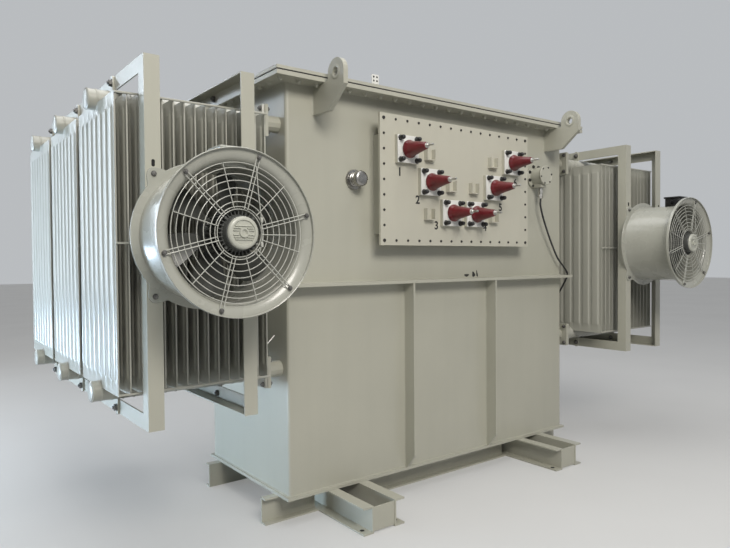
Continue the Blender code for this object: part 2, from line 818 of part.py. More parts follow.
def stand_outline(centre_x, height):
    """Pocket bracket that parks a cable elbow, seen from the front: a U open at the top."""
    half = STAND_WIDTH / 2
    rise = STAND_HEIGHT / 2
    sheet = STAND_SHEET
    return [
        (centre_x - half, height - rise),
        (centre_x + half, height - rise),
        (centre_x + half, height + rise),
        (centre_x + half - sheet, height + rise),
        (centre_x + half - sheet, height - rise + sheet),
        (centre_x - half + sheet, height - rise + sheet),
        (centre_x - half + sheet, height + rise),
        (centre_x - half, height + rise),
    ]


def stand_mesh(centre_x, height, front):
    depth = STAND_REACH + FUSE_DEPTH
    middle = front - STAND_REACH + depth / 2
    return outline_mesh(stand_outline(centre_x, height), depth, "Y", (0.0, middle, 0.0))


def boss_mesh(centre_x, height, front):
    """Square boss welded to the panel behind one bushing flange."""
    half = BUSHING_FLANGE_SIZE / 2
    return box_mesh((centre_x - half, front - BOSS_THICKNESS, height - half),
                    (centre_x + half, front + FUSE_DEPTH, height + half))


def make_panel():
    front = panel_front_y()
    half = PANEL_WIDTH / 2
    top = PANEL_BOTTOM_HEIGHT + PANEL_HEIGHT
    plate = box_mesh((PANEL_CENTRE_X - half, front, PANEL_BOTTOM_HEIGHT),
                     (PANEL_CENTRE_X + half, front + PANEL_THICKNESS, top))
    fittings = []
    for side, sign, row, centre_x, height in bushing_places():
        away = -sign if row > 0 else sign
        fittings.append(stand_mesh(centre_x + away * STAND_OFFSET, height - STAND_DROP, front))
        fittings.append(boss_mesh(centre_x, height, front))
    add_part("bushing_panel", fused(plate, gathered(fittings)), TANK_PAINT)


def bushing_profile():
    """Radius and height of the moulded cone and its pin, from the tip down to the flange."""
    levels = [BUSHING_FLANGE_THICKNESS]
    for length in (BUSHING_COLLAR_LENGTH, BUSHING_CONE_LENGTH, BUSHING_PIN_LENGTH):
        levels.append(levels[-1] + length)
    flange, collar, cone, tip = levels
    return [
        (0.0, tip),
        (BUSHING_PIN_RADIUS, tip),
        (BUSHING_PIN_RADIUS, cone),
        (BUSHING_CONE_TIP_RADIUS, cone),
        (BUSHING_CONE_ROOT_RADIUS, collar),
        (BUSHING_COLLAR_RADIUS, flange),
        (BUSHING_COLLAR_RADIUS, flange - FUSE_DEPTH),
        (0.0, flange - FUSE_DEPTH),
    ]


def bushing_mesh():
    """One bushing about its own axis, its tip towards +Z: flange, stud caps, cone and pin."""
    half = BUSHING_FLANGE_SIZE / 2
    flange = box_mesh((-half, -half, 0.0), (half, half, BUSHING_FLANGE_THICKNESS))
    caps = []
    for across in (-1, 1):
        for up in (-1, 1):
            centre = (across * STUD_CAP_SPREAD, up * STUD_CAP_SPREAD)
            low = (centre[0], centre[1], BUSHING_FLANGE_THICKNESS - FUSE_DEPTH)
            high = (centre[0], centre[1], BUSHING_FLANGE_THICKNESS + STUD_CAP_LENGTH)
            caps.append(rod_mesh(STUD_CAP_RADIUS, low, high, STUD_CAP_SIDES))
    cone = turned_mesh(bushing_profile(), BUSHING_STEPS)
    return fused(flange, gathered(caps), cone)


def make_bushings():
    row_names = ("low", "middle", "high")
    shape = bushing_mesh()
    seat = panel_front_y() - BOSS_THICKNESS - SEAT_GAP
    for side, sign, row, centre_x, height in bushing_places():
        copy = facing_front(shape.copy(), (centre_x, seat, height))
        add_part("bushing_" + side + "_" + row_names[row], copy, BUSHING_EPOXY, smooth=True)


# Fittings on the front wall


def make_wall_plug():
    """Round steel fitting left of the panel."""
    cap_top = PLUG_FLANGE_THICKNESS + PLUG_CAP_LENGTH
    profile = [
        (0.0, cap_top),
        (PLUG_CAP_TOP_RADIUS, cap_top),
        (PLUG_CAP_RADIUS, cap_top - PLUG_CAP_SHOULDER),
        (PLUG_CAP_RADIUS, PLUG_FLANGE_THICKNESS),
        (PLUG_FLANGE_RADIUS, PLUG_FLANGE_THICKNESS),
        (PLUG_FLANGE_RADIUS, 0.0),
        (0.0, 0.0),
    ]
    shape = turned_mesh(profile, BUSHING_STEPS)
    centre = (-PLUG_OFFSET_X, -HALF_DEPTH - SEAT_GAP, PLUG_HEIGHT)
    add_part("wall_plug", facing_front(shape, centre), BRIGHT_STEEL, smooth=True)


def make_gauge():
    """Round flanged instrument right of the panel, with its cable gland below."""
    wall = -HALF_DEPTH - SEAT_GAP
    body_end = GAUGE_FLANGE_THICKNESS + GAUGE_BODY_LENGTH
    face_end = body_end + GAUGE_FACE_THICKNESS
    profile = [
        (0.0, face_end),
        (GAUGE_FACE_RADIUS, face_end),
        (GAUGE_FACE_RADIUS, body_end),
        (GAUGE_BODY_RADIUS, body_end),
        (GAUGE_BODY_RADIUS, GAUGE_FLANGE_THICKNESS),
        (GAUGE_FLANGE_RADIUS, GAUGE_FLANGE_THICKNESS),
        (GAUGE_FLANGE_RADIUS, 0.0),
        (0.0, 0.0),
    ]
    centre = (GAUGE_OFFSET_X, wall, GAUGE_HEIGHT)
    body = facing_front(turned_mesh(profile, BUSHING_STEPS), centre)
    gland_y = wall - GAUGE_FLANGE_THICKNESS - GAUGE_BODY_LENGTH / 2
    gland_top = GAUGE_HEIGHT - GAUGE_BODY_RADIUS + FUSE_DEPTH
    gland = rod_mesh(GAUGE_GLAND_RADIUS, (GAUGE_OFFSET_X, gland_y, gland_top),
                     (GAUGE_OFFSET_X, gland_y, gland_top - GAUGE_GLAND_LENGTH), 8)
    add_part("wall_gauge", fused(body, gland), TANK_PAINT, smooth=True)


def gauge_gland_end():
    """Middle of the gauge gland's lower face."""
    out = HALF_DEPTH + SEAT_GAP + GAUGE_FLANGE_THICKNESS + GAUGE_BODY_LENGTH / 2
    height = GAUGE_HEIGHT - GAUGE_BODY_RADIUS + FUSE_DEPTH - GAUGE_GLAND_LENGTH
    return Vector((GAUGE_OFFSET_X, -out, height))


def cable_knots():
    """Hand-placed points from the gauge's gland to the gland on the end wall."""
    knots = [gauge_gland_end() - Vector((0.0, 0.0, SEAT_GAP))]
    for beyond, out, height in CABLE_POINTS:
        knots.append(Vector((HALF_LENGTH + beyond, -HALF_DEPTH - out, LEDGE_TOP_HEIGHT + height)))
    last = knots[-1].copy()
    last.x = HALF_LENGTH + SEAT_GAP + CABLE_GLAND_LENGTH + SEAT_GAP
    knots.append(last)
    return knots


def smooth_route(knots, steps):
    """Points of a smooth curve through the knots."""
    route = []
    for index in range(len(knots) - 1):
        before = knots[max(index - 1, 0)]
        start = knots[index]
        end = knots[index + 1]
        after = knots[min(index + 2, len(knots) - 1)]
        for step in range(steps):
            share = step / steps
            leave = (end - before) / 2
            arrive = (after - start) / 2
            square = share * share
            cube = square * share
            route.append(start * (2 * cube - 3 * square + 1) + leave * (cube - 2 * square + share)
                         + end * (3 * square - 2 * cube) + arrive * (cube - square))
    route.append(knots[-1])
    return route


def make_gauge_cable():
    route = smooth_route(cable_knots(), CABLE_STEPS)
    add_part("gauge_cable", pipe_mesh(route, CABLE_RADIUS), GASKET_RUBBER, smooth=True)


def make_cable_gland():
    end = cable_knots()[-1]
    foot = Vector((HALF_LENGTH + SEAT_GAP, end.y, end.z))
    head = foot + Vector((CABLE_GLAND_LENGTH, 0.0, 0.0))
    add_part("cable_gland", rod_mesh(CABLE_GLAND_RADIUS, foot, head, 8), BRIGHT_STEEL)


# Radiators


def fin_mesh(centre_x):
    half = FIN_THICKNESS / 2
    return box_mesh((centre_x - half, -FIN_WIDTH / 2, -HALF_RISE),
                    (centre_x + half, FIN_WIDTH / 2, HALF_RISE))


def flute_mesh(centre_y, face_x):
    """One pressed ridge on the outermost panel's face, with sloping flanks and ends."""
    root = flute_pitch() * (1 - FLUTE_GAP_SHARE) / 2
    crest = root - FLUTE_PROUD
    height = HALF_RISE - FLUTE_END_SETBACK
    crest_height = height - FLUTE_END_SLOPE * FLUTE_PROUD
    corners = ((-1, -1), (1, -1), (1, 1), (-1, 1))
    form = bmesh.new()
    lower = [form.verts.new((face_x - FUSE_DEPTH, centre_y + a * root, b * height))
             for a, b in corners]
    upper = [form.verts.new((face_x + FLUTE_PROUD, centre_y + a * crest, b * crest_height))
             for a, b in corners]
    form.faces.new(lower)
    form.faces.new(upper)
    for first in range(len(corners)):
        second = (first + 1) % len(corners)
        form.faces.new((lower[first], lower[second], upper[second], upper[first]))
    bmesh.ops.recalc_face_normals(form, faces=form.faces)
    return mesh_from(form)


def flute_pitch():
    return (FIN_WIDTH - 2 * FLUTE_MARGIN) / FLUTE_COUNT


def flutes(face_x):
    first = -flute_pitch() * (FLUTE_COUNT - 1) / 2
    return [flute_mesh(first + index * flute_pitch(), face_x) for index in range(FLUTE_COUNT)]


def bank_reach():
    """Distance from the innermost to the outermost panel's middle."""
    return (PANEL_COUNT - 1) * PANEL_PITCH


def radiator_mesh():
    """One radiator about its own middle, its flanges towards -X, its outermost panel at +X."""
    outer = bank_reach()
    fins = gathered([fin_mesh(index * PANEL_PITCH) for index in range(PANEL_COUNT)])
    half = FIN_THICKNESS / 2
    ridges = gathered(flutes(outer + half))
    flange_x = -INNER_PANEL_DISTANCE + STUB_LENGTH + SEAT_GAP
    square = FLANGE_SIZE / 2
    pipes = []
    plates = []
    roll = math.pi / HEADER_SIDES
    for height in (-HEADER_RISE, HEADER_RISE):
        pipes.append(rod_mesh(HEADER_RADIUS, (flange_x + FLANGE_THICKNESS / 2, 0.0, height),
                              (outer + HEADER_OVERHANG, 0.0, height), HEADER_SIDES, roll))
        plates.append(box_mesh((flange_x, -square, height - square),
                               (flange_x + FLANGE_THICKNESS, square, height + square)))
    return fused(fins, ridges, gathered(pipes), gathered(plates))


def make_radiators():
    shape = radiator_mesh()
    names = ("front", "middle", "rear")
    for side, sign in sides():
        for index, place in enumerate(names):
            copy = shape.copy()
            copy = moved(copy, (HALF_LENGTH + INNER_PANEL_DISTANCE,
                                RADIATOR_FIRST_Y + index * RADIATOR_PITCH, FIN_MIDDLE))
            add_part("radiator_" + side + "_" + place, mirrored(copy, sign), RADIATOR_PAINT)


# Fan frames


def frame_outline(front, back):
    """Side view of a frame: front leg, top rail and bottom rail."""
    return [
        (front, FRAME_BOTTOM),
        (back, FRAME_BOTTOM),
        (back, FRAME_BOTTOM + RAIL_HEIGHT),
        (front + LEG_DEPTH, FRAME_BOTTOM + RAIL_HEIGHT),
        (front + LEG_DEPTH, FRAME_TOP - RAIL_HEIGHT),
        (back, FRAME_TOP - RAIL_HEIGHT),
        (back, FRAME_TOP),
        (front, FRAME_TOP),
    ]


def frame_mesh(web_distance, inward):
    """Angle steel leg and rails; the webs stand on the side away from the fan."""
    web_x = HALF_LENGTH + web_distance
    edge_x = web_x + inward * LEG_WIDTH
    back = RADIATOR_LAST_Y + FRAME_TAIL
    middle = ((web_x + edge_x) / 2, 0.0, 0.0)
    body = outline_mesh(frame_outline(FRAME_FRONT_Y, back), LEG_WIDTH, "X", middle)
    hollow_x = (web_x + inward * ANGLE_WALL, edge_x + inward * CUT_OVERRUN)
    hollow = box_mesh((min(hollow_x), FRAME_FRONT_Y + ANGLE_WALL, FRAME_BOTTOM + ANGLE_WALL),
                      (max(hollow_x), back + CUT_OVERRUN, FRAME_TOP - ANGLE_WALL))
    return cut_from(body, hollow)


def make_frames():
    for side, sign in sides():
        outer = frame_mesh(FRAME_OUTER_DISTANCE, -1)
        inner = frame_mesh(FRAME_INNER_DISTANCE, 1)
        add_part("fan_frame_" + side + "_outer", mirrored(outer, sign), TANK_PAINT)
        add_part("fan_frame_" + side + "_inner", mirrored(inner, sign), TANK_PAINT)


# Fans, built about their own axis with the front towards +Z and then laid down


def bell_start():
    return COWL_LENGTH - COWL_MOUTH_LENGTH


def bell_rise():
    return COWL_MOUTH_LENGTH - COWL_LIP - COWL_SHEET


def bell_points(offset):
    """Curve of the flared mouth from the cylinder outwards, offset inwards from its outer side."""
    points = []
    cylinder = COWL_RADIUS + COWL_SHEET
    for step in range(COWL_MOUTH_STEPS + 1):
        angle = math.pi / 2 * step / COWL_MOUTH_STEPS
        radius = cylinder + (COWL_MOUTH_RADIUS - cylinder) * (1 - math.cos(angle))
        radius = min(radius - offset * math.cos(angle), COWL_MOUTH_RADIUS - offset)
        height = bell_start() + (bell_rise() + offset) * math.sin(angle)
        points.append((radius, height))
    return points


def cowl_profile():
    """Closed section of the cowl: lip, flared mouth, cylinder and back flange."""
    back = COWL_BACK_FLANGE_THICKNESS
    outer_side = [(COWL_MOUTH_RADIUS - COWL_SHEET, COWL_LENGTH), (COWL_MOUTH_RADIUS, COWL_LENGTH)]
    outer_side += reversed(bell_points(0.0))
    outer_side += [
        (COWL_RADIUS + COWL_SHEET, back),
        (COWL_BACK_FLANGE_RADIUS, back),
        (COWL_BACK_FLANGE_RADIUS, 0.0),
        (COWL_RADIUS, 0.0),
    ]
    return outer_side + bell_points(COWL_SHEET)


def lug_disc(sign_x, sign_z):
    centre = (sign_x * COWL_LUG_SPREAD_X, sign_z * COWL_LUG_SPREAD_Z)
    return rod_mesh(COWL_LUG_RADIUS * 2, (centre[0], centre[1], 0.0),
                    (centre[0], centre[1], COWL_BACK_FLANGE_THICKNESS), 16)


def bore_mesh():
    return rod_mesh(COWL_RADIUS + COWL_SHEET / 2, (0.0, 0.0, -CUT_OVERRUN),
                    (0.0, 0.0, COWL_BACK_FLANGE_THICKNESS + CUT_OVERRUN), COWL_STEPS)


def cowl_mesh():
    body = turned_mesh(cowl_profile(), COWL_STEPS, closed=True)
    ears = []
    for sign_x in (-1, 1):
        for sign_z in (-1, 1):
            ears.append(lug_disc(sign_x, sign_z))
    ears = cut_from(gathered(ears), bore_mesh())
    top = COWL_RADIUS + COWL_SHEET + TERMINAL_BOX_HEIGHT
    middle = COWL_LENGTH - TERMINAL_BOX_SETBACK
    foot = math.sqrt(COWL_RADIUS ** 2 - (TERMINAL_BOX_WIDTH / 2) ** 2) + FUSE_DEPTH
    case = box_mesh((-TERMINAL_BOX_WIDTH / 2, foot, middle - TERMINAL_BOX_DEPTH / 2),
                    (TERMINAL_BOX_WIDTH / 2, top, middle + TERMINAL_BOX_DEPTH / 2))
    tunnel = rod_mesh(COWL_RADIUS + COWL_SHEET / 2, (0.0, 0.0, CUT_OVERRUN),
                      (0.0, 0.0, COWL_LENGTH - CUT_OVERRUN), COWL_STEPS)
    case = cut_from(case, tunnel)
    return fused(body, ears, case)


def ring_profile(radius, height):
    half = GUARD_WIRE / 2
    return [
        (radius, height + half),
        (radius + half, height),
        (radius, height - half),
        (radius - half, height),
    ]


def bell_height(radius):
    """Height of the flared mouth's inner side at one radius."""
    points = bell_points(COWL_SHEET)
    for near, far in zip(points, points[1:]):
        if near[0] <= radius <= far[0]:
            return near[1] + (far[1] - near[1]) * (radius - near[0]) / (far[0] - near[0])
    return points[-1][1]


def guard_height():
    """Height above the cowl's back where the guard's spokes lie on the flared mouth."""
    return bell_height(GUARD_BOLT_RADIUS) + GUARD_SEAT_GAP


def spoke_mesh(angle, offset):
    """One wire from the hub ring out to a rim bolt."""
    height = guard_height() + GUARD_WIRE / 2
    across = offset * GUARD_SPOKE_GAP / 2
    start = GUARD_HUB_RADIUS
    end = GUARD_BOLT_RADIUS
    half = GUARD_WIRE / 2
    bar = box_mesh((start, across - half, height - half), (end, across + half, height + half))
    bar.transform(Matrix.Rotation(angle, 4, "Z"))
    return bar


def guard_mesh():
    rings = [turned_mesh(ring_profile(radius, guard_height()), GUARD_STEPS, closed=True)
             for radius in GUARD_RING_RADII]
    inner = GUARD_HUB_RADIUS
    half = GUARD_WIRE
    band = [
        (inner + half, guard_height() + GUARD_WIRE),
        (inner + half, guard_height() - GUARD_WIRE),
        (inner, guard_height() - GUARD_WIRE),
        (inner, guard_height() + GUARD_WIRE),
    ]
    rings.append(turned_mesh(band, GUARD_STEPS, closed=True))
    wires = []
    for index in range(GUARD_SPOKES):
        angle = math.radians(GUARD_FIRST_ANGLE) + index * 2 * math.pi / GUARD_SPOKES
        for offset in (-1, 1):
            wires.append(spoke_mesh(angle, offset))
    return fused(gathered(rings), gathered(wires))


def motor_top():
    return COWL_LENGTH + MOTOR_PROUD


def motor_mesh():
    """Motor body with a flange ring that the guard's hub ring sits round."""
    top = motor_top()
    bottom = top - MOTOR_LENGTH
    ring = GUARD_HUB_RADIUS - SEAT_GAP
    profile = [
        (0.0, top),
        (MOTOR_RADIUS * 0.82, top),
        (MOTOR_RADIUS, top - MOTOR_RADIUS * 0.18),
        (MOTOR_RADIUS, guard_height() + GUARD_WIRE),
        (ring, guard_height() + GUARD_WIRE),
        (ring, guard_height() - GUARD_WIRE),
        (MOTOR_RADIUS, guard_height() - GUARD_WIRE),
        (MOTOR_RADIUS, bottom),
        (0.0, bottom),
    ]
    return turned_mesh(profile, GUARD_STEPS)


def hub_top():
    return motor_top() - MOTOR_LENGTH - IMPELLER_GAP


def blade_mesh(angle):
    """One twisted blade, lofted through stations from the hub to the tip."""
    tip = COWL_RADIUS - BLADE_TIP_GAP
    root = HUB_RADIUS - FUSE_DEPTH
    middle = hub_top() - HUB_LENGTH / 2
    form = bmesh.new()
    rows = []
    for station in range(BLADE_STATIONS):
        share = station / (BLADE_STATIONS - 1)
        radius = root + (tip - root) * share
        chord = BLADE_ROOT_CHORD + (BLADE_TIP_CHORD - BLADE_ROOT_CHORD) * share
        pitch = math.radians(BLADE_ROOT_PITCH + (BLADE_TIP_PITCH - BLADE_ROOT_PITCH) * share)
        across = chord / 2 * math.cos(pitch)
        rise = chord / 2 * math.sin(pitch)
        turn = across / radius
        row = []
        for end in (-1, 1):
            sweep = end * turn
            row.append(form.verts.new((radius * math.cos(sweep), radius * math.sin(sweep),
                                       middle + end * rise)))
        rows.append(row)
    for near, far in zip(rows, rows[1:]):
        form.faces.new((near[0], near[1], far[1], far[0]))
    sheet = bpy.data.objects.new("blade", mesh_from(form))
    bpy.context.scene.collection.objects.link(sheet)
    solid = sheet.modifiers.new("sheet", "SOLIDIFY")
    solid.thickness = BLADE_THICKNESS
    solid.offset = 0.0
    shape = evaluated_mesh(sheet)
    shape.transform(Matrix.Rotation(angle, 4, "Z"))
    return shape


def impeller_mesh():
    top = hub_top()
    bottom = top - HUB_LENGTH
    motor_bottom = motor_top() - MOTOR_LENGTH
    profile = [
        (0.0, motor_bottom - SEAT_GAP),
        (SHAFT_RADIUS, motor_bottom - SEAT_GAP),
        (SHAFT_RADIUS, top),
        (HUB_RADIUS * 0.9, top),
        (HUB_RADIUS, top - HUB_RADIUS * 0.1),
        (HUB_RADIUS, bottom),
        (0.0, bottom),
    ]
    hub = turned_mesh(profile, GUARD_STEPS)
    blades = [blade_mesh(index * 2 * math.pi / BLADE_COUNT) for index in range(BLADE_COUNT)]
    return fused(hub, gathered(blades))


def make_fans():
    cowl = cowl_mesh()
    guard = guard_mesh()
    motor = motor_mesh()
    impeller = impeller_mesh()
    for side, sign in sides():
        centre = Vector((sign * (HALF_LENGTH + FAN_DISTANCE), COWL_BACK_Y, FAN_HEIGHT))
        for name, source, material in (
                ("fan_cowl_", cowl, TANK_PAINT), ("fan_guard_", guard, GUARD_PAINT),
                ("fan_motor_", motor, TANK_PAINT), ("fan_impeller_", impeller, BLADE_PAINT)):
            piece = add_part(name + side, source.copy(), material, smooth=True)
            piece.location = centre
            piece.rotation_euler = (math.pi / 2, 0.0, 0.0)


make_skid()
make_base_plate()
make_tank()
make_elbows()
make_gasket()
make_cover()
make_ledges()
make_stiffeners()
make_lugs()
make_cover_tab()
make_throat()
make_panel()
make_bushings()
make_wall_plug()
make_gauge()
make_gauge_cable()
make_cable_gland()
make_radiators()
make_frames()
make_fans()
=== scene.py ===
"""Oil-filled power transformer: looks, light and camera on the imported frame."""

import math

import bmesh
import bpy
from mathutils import Matrix, Vector


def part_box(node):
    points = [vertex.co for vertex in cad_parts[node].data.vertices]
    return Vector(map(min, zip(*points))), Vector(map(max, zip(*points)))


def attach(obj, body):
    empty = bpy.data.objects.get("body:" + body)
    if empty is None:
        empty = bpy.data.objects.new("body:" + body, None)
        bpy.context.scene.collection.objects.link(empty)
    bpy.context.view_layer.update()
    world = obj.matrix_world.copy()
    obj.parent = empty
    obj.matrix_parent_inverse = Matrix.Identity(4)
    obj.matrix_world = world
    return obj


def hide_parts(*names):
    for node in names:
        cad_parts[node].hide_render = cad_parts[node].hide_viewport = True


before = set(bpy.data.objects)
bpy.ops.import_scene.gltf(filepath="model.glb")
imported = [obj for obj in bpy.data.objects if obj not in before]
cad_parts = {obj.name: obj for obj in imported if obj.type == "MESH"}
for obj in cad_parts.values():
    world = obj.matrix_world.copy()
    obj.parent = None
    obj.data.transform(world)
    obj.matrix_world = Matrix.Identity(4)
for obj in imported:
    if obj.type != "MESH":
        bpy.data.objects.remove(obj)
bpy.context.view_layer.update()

ROOT = "transformer"
BASE_LOW, BASE_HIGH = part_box("base_plate")
OVERHANG = 0.015
HALF_LENGTH = BASE_HIGH.x - OVERHANG
MID_Y = (BASE_LOW.y + BASE_HIGH.y) / 2
HALF_DEPTH = (BASE_HIGH.y - BASE_LOW.y) / 2 - OVERHANG
FRONT = MID_Y - HALF_DEPTH
BACK = MID_Y + HALF_DEPTH
COVER_LOW, COVER_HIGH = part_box("tank_cover")
TANK_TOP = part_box("tank_body")[1].z
FORWARD = (0, -1, 0)
LUG_X = 0.9075
STIFFENER_X = 0.33
GAUGE_INSET = 0.284
GLAND_OUT = 0.0523


# Camera, from the photograph's own geometry


def add_camera():
    yaw, pitch, roll = 0.6475, 0.022, -0.0075
    ahead = Vector((math.sin(yaw) * math.cos(pitch), math.cos(yaw) * math.cos(pitch),
                    -math.sin(pitch)))
    right = Vector((math.cos(yaw), -math.sin(yaw), 0.0))
    up = right.cross(ahead)
    right, up = (math.cos(roll) * right + math.sin(roll) * up,
                 -math.sin(roll) * right + math.cos(roll) * up)
    data = bpy.data.cameras.new("camera")
    data.sensor_width = 36.0
    data.lens = 31.04
    camera = bpy.data.objects.new("camera", data)
    bpy.context.scene.collection.objects.link(camera)
    turn = Matrix((right, up, -ahead)).transposed().to_4x4()
    place = Vector((-1.5242 - HALF_LENGTH, -2.6341 - HALF_DEPTH + MID_Y, 1.2905))
    camera.matrix_world = Matrix.Translation(place) @ turn
    bpy.context.scene.camera = camera


add_camera()


# Materials


class Nodes:
    """A short way to wire a node material."""

    def __init__(self, name):
        self.material = bpy.data.materials.new(name)
        self.material.use_nodes = True
        self.tree = self.material.node_tree
        self.shader = self.tree.nodes["Principled BSDF"]
        self.coords = self.tree.nodes.new("ShaderNodeTexCoord").outputs["Object"]

    def noise(self, scale, detail=3.0, stretch=(1.0, 1.0, 1.0)):
        mapping = self.tree.nodes.new("ShaderNodeMapping")
        mapping.inputs["Scale"].default_value = stretch
        self.tree.links.new(self.coords, mapping.inputs["Vector"])
        node = self.tree.nodes.new("ShaderNodeTexNoise")
        node.inputs["Scale"].default_value = scale
        node.inputs["Detail"].default_value = detail
        self.tree.links.new(mapping.outputs["Vector"], node.inputs["Vector"])
        return node.outputs["Fac"]

    def ramp(self, value, stops):
        node = self.tree.nodes.new("ShaderNodeValToRGB")
        elements = node.color_ramp.elements
        while len(elements) < len(stops):
            elements.new(0.5)
        for element, (place, colour) in zip(elements, stops):
            element.position = place
            element.color = (*colour, 1.0)
        self.tree.links.new(value, node.inputs["Fac"])
        return node.outputs["Color"]

    def mix(self, first, second, share, blend="MIX"):
        node = self.tree.nodes.new("ShaderNodeMix")
        node.data_type = "RGBA"
        node.blend_type = blend
        if isinstance(share, float):
            node.inputs["Factor"].default_value = share
        else:
            self.tree.links.new(share, node.inputs["Factor"])
        for socket, value in (("A", first), ("B", second)):
            slot = [s for s in node.inputs if s.name == socket and s.type == "RGBA"][0]
            if isinstance(value, tuple):
                slot.default_value = (*value, 1.0)
            else:
                self.tree.links.new(value, slot)
        return [s for s in node.outputs if s.type == "RGBA"][0]

    def range(self, value, low, high):
        node = self.tree.nodes.new("ShaderNodeMapRange")
        node.inputs["To Min"].default_value = low
        node.inputs["To Max"].default_value = high
        self.tree.links.new(value, node.inputs["Value"])
        return node.outputs["Result"]

    def bump(self, height, strength, distance):
        node = self.tree.nodes.new("ShaderNodeBump")
        node.inputs["Strength"].default_value = strength
        node.inputs["Distance"].default_value = distance
        self.tree.links.new(height, node.inputs["Height"])
        self.tree.links.new(node.outputs["Normal"], self.shader.inputs["Normal"])

    def link(self, value, socket):
        self.tree.links.new(value, self.shader.inputs[socket])


def scaled(colour, factor):
    return tuple(min(channel * factor, 1.0) for channel in colour)


def painted(name, colour, rough=0.34, coat=0.25, peel=0.25):
    """Sprayed enamel: soft mottling, orange peel and faint run marks."""
    nodes = Nodes(name)
    cloud = nodes.noise(2.3, 4.0)
    runs = nodes.noise(5.0, 3.0, (3.0, 3.0, 0.25))
    tone = nodes.ramp(cloud, ((0.3, scaled(colour, 0.95)), (0.7, scaled(colour, 1.04))))
    streaks = nodes.ramp(runs, ((0.45, scaled(colour, 1.0)), (0.75, scaled(colour, 0.93))))
    nodes.link(nodes.mix(tone, streaks, 0.35), "Base Color")
    nodes.link(nodes.range(nodes.noise(9.0), rough - 0.05, rough + 0.08), "Roughness")
    nodes.shader.inputs["Coat Weight"].default_value = coat
    nodes.shader.inputs["Coat Roughness"].default_value = 0.18
    nodes.bump(nodes.noise(260.0, 2.0), peel, 0.0006)
    return nodes.material


def metal(name, colour, rough, grain=(1.0, 1.0, 1.0)):
    nodes = Nodes(name)
    tone = nodes.ramp(nodes.noise(40.0, 4.0, grain),
                      ((0.3, scaled(colour, 0.8)), (0.7, scaled(colour, 1.05))))
    nodes.link(tone, "Base Color")
    nodes.shader.inputs["Metallic"].default_value = 1.0
    nodes.link(nodes.range(nodes.noise(60.0), rough - 0.06, rough + 0.1), "Roughness")
    nodes.bump(nodes.noise(500.0, 2.0, grain), 0.15, 0.0003)
    return nodes.material


def dark_rubber(name, colour, rough):
    nodes = Nodes(name)
    nodes.link(nodes.ramp(nodes.noise(60.0, 3.0),
                          ((0.3, scaled(colour, 0.7)), (0.7, scaled(colour, 1.5)))), "Base Color")
    nodes.link(nodes.range(nodes.noise(80.0), rough - 0.08, rough + 0.08), "Roughness")
    nodes.bump(nodes.noise(900.0), 0.2, 0.0002)
    return nodes.material


def moulded_epoxy(name, colour):
    nodes = Nodes(name)
    nodes.link(nodes.ramp(nodes.noise(25.0, 5.0),
                          ((0.25, scaled(colour, 0.72)), (0.75, scaled(colour, 1.25)))),
               "Base Color")
    nodes.link(nodes.range(nodes.noise(120.0), 0.26, 0.42), "Roughness")
    nodes.shader.inputs["Coat Weight"].default_value = 0.3
    nodes.shader.inputs["Coat Roughness"].default_value = 0.2
    nodes.bump(nodes.noise(300.0), 0.2, 0.0004)
    return nodes.material


GREY = (0.45, 0.445, 0.375)
TANK = painted("enamel_tank", GREY)
PLATE = painted("enamel_panel", (0.52, 0.505, 0.425), 0.4, 0.15)
FIN = painted("enamel_radiator", (0.415, 0.413, 0.36), 0.32, 0.3)
FAN = painted("enamel_fan", (0.39, 0.392, 0.343), 0.26, 0.5, 0.15)
MOTOR = painted("enamel_motor", (0.5, 0.505, 0.44), 0.35, 0.3)
CASTING = painted("motor_casting", (0.085, 0.088, 0.082), 0.42, 0.2)
BLADE = painted("enamel_blade", (0.08, 0.083, 0.076), 0.42, 0.15)
WIRE = painted("plated_wire", (0.48, 0.485, 0.44), 0.3, 0.4, 0.1)
STEEL = metal("plated_steel", (0.55, 0.54, 0.51), 0.3)
NICKEL = metal("nickel_plug", (0.36, 0.35, 0.33), 0.26)
DULL = metal("dull_steel", (0.2, 0.195, 0.185), 0.45)
RUBBER = dark_rubber("black_rubber", (0.02, 0.02, 0.021), 0.6)
GASKET = dark_rubber("gasket_edge", (0.03, 0.03, 0.032), 0.75)
CAP = dark_rubber("black_cap", (0.01, 0.01, 0.011), 0.35)
SCREW = metal("dark_screw", (0.085, 0.083, 0.08), 0.5)
EPOXY = moulded_epoxy("red_epoxy", (0.135, 0.009, 0.013))
WHITE = painted("white_flange", (0.74, 0.74, 0.71), 0.4, 0.2)
INK = dark_rubber("black_ink", (0.012, 0.012, 0.013), 0.55)
# near-black painted shade, laid on flat discs where holes and slots show only shadow
SHADE = dark_rubber("hole_shade", (0.012, 0.012, 0.012), 0.9)


def dress(node, material):
    thing = bpy.data.objects[node]
    if not thing.material_slots:
        thing.data.materials.append(material)
    for slot in thing.material_slots:
        slot.material = material


# Mesh tools


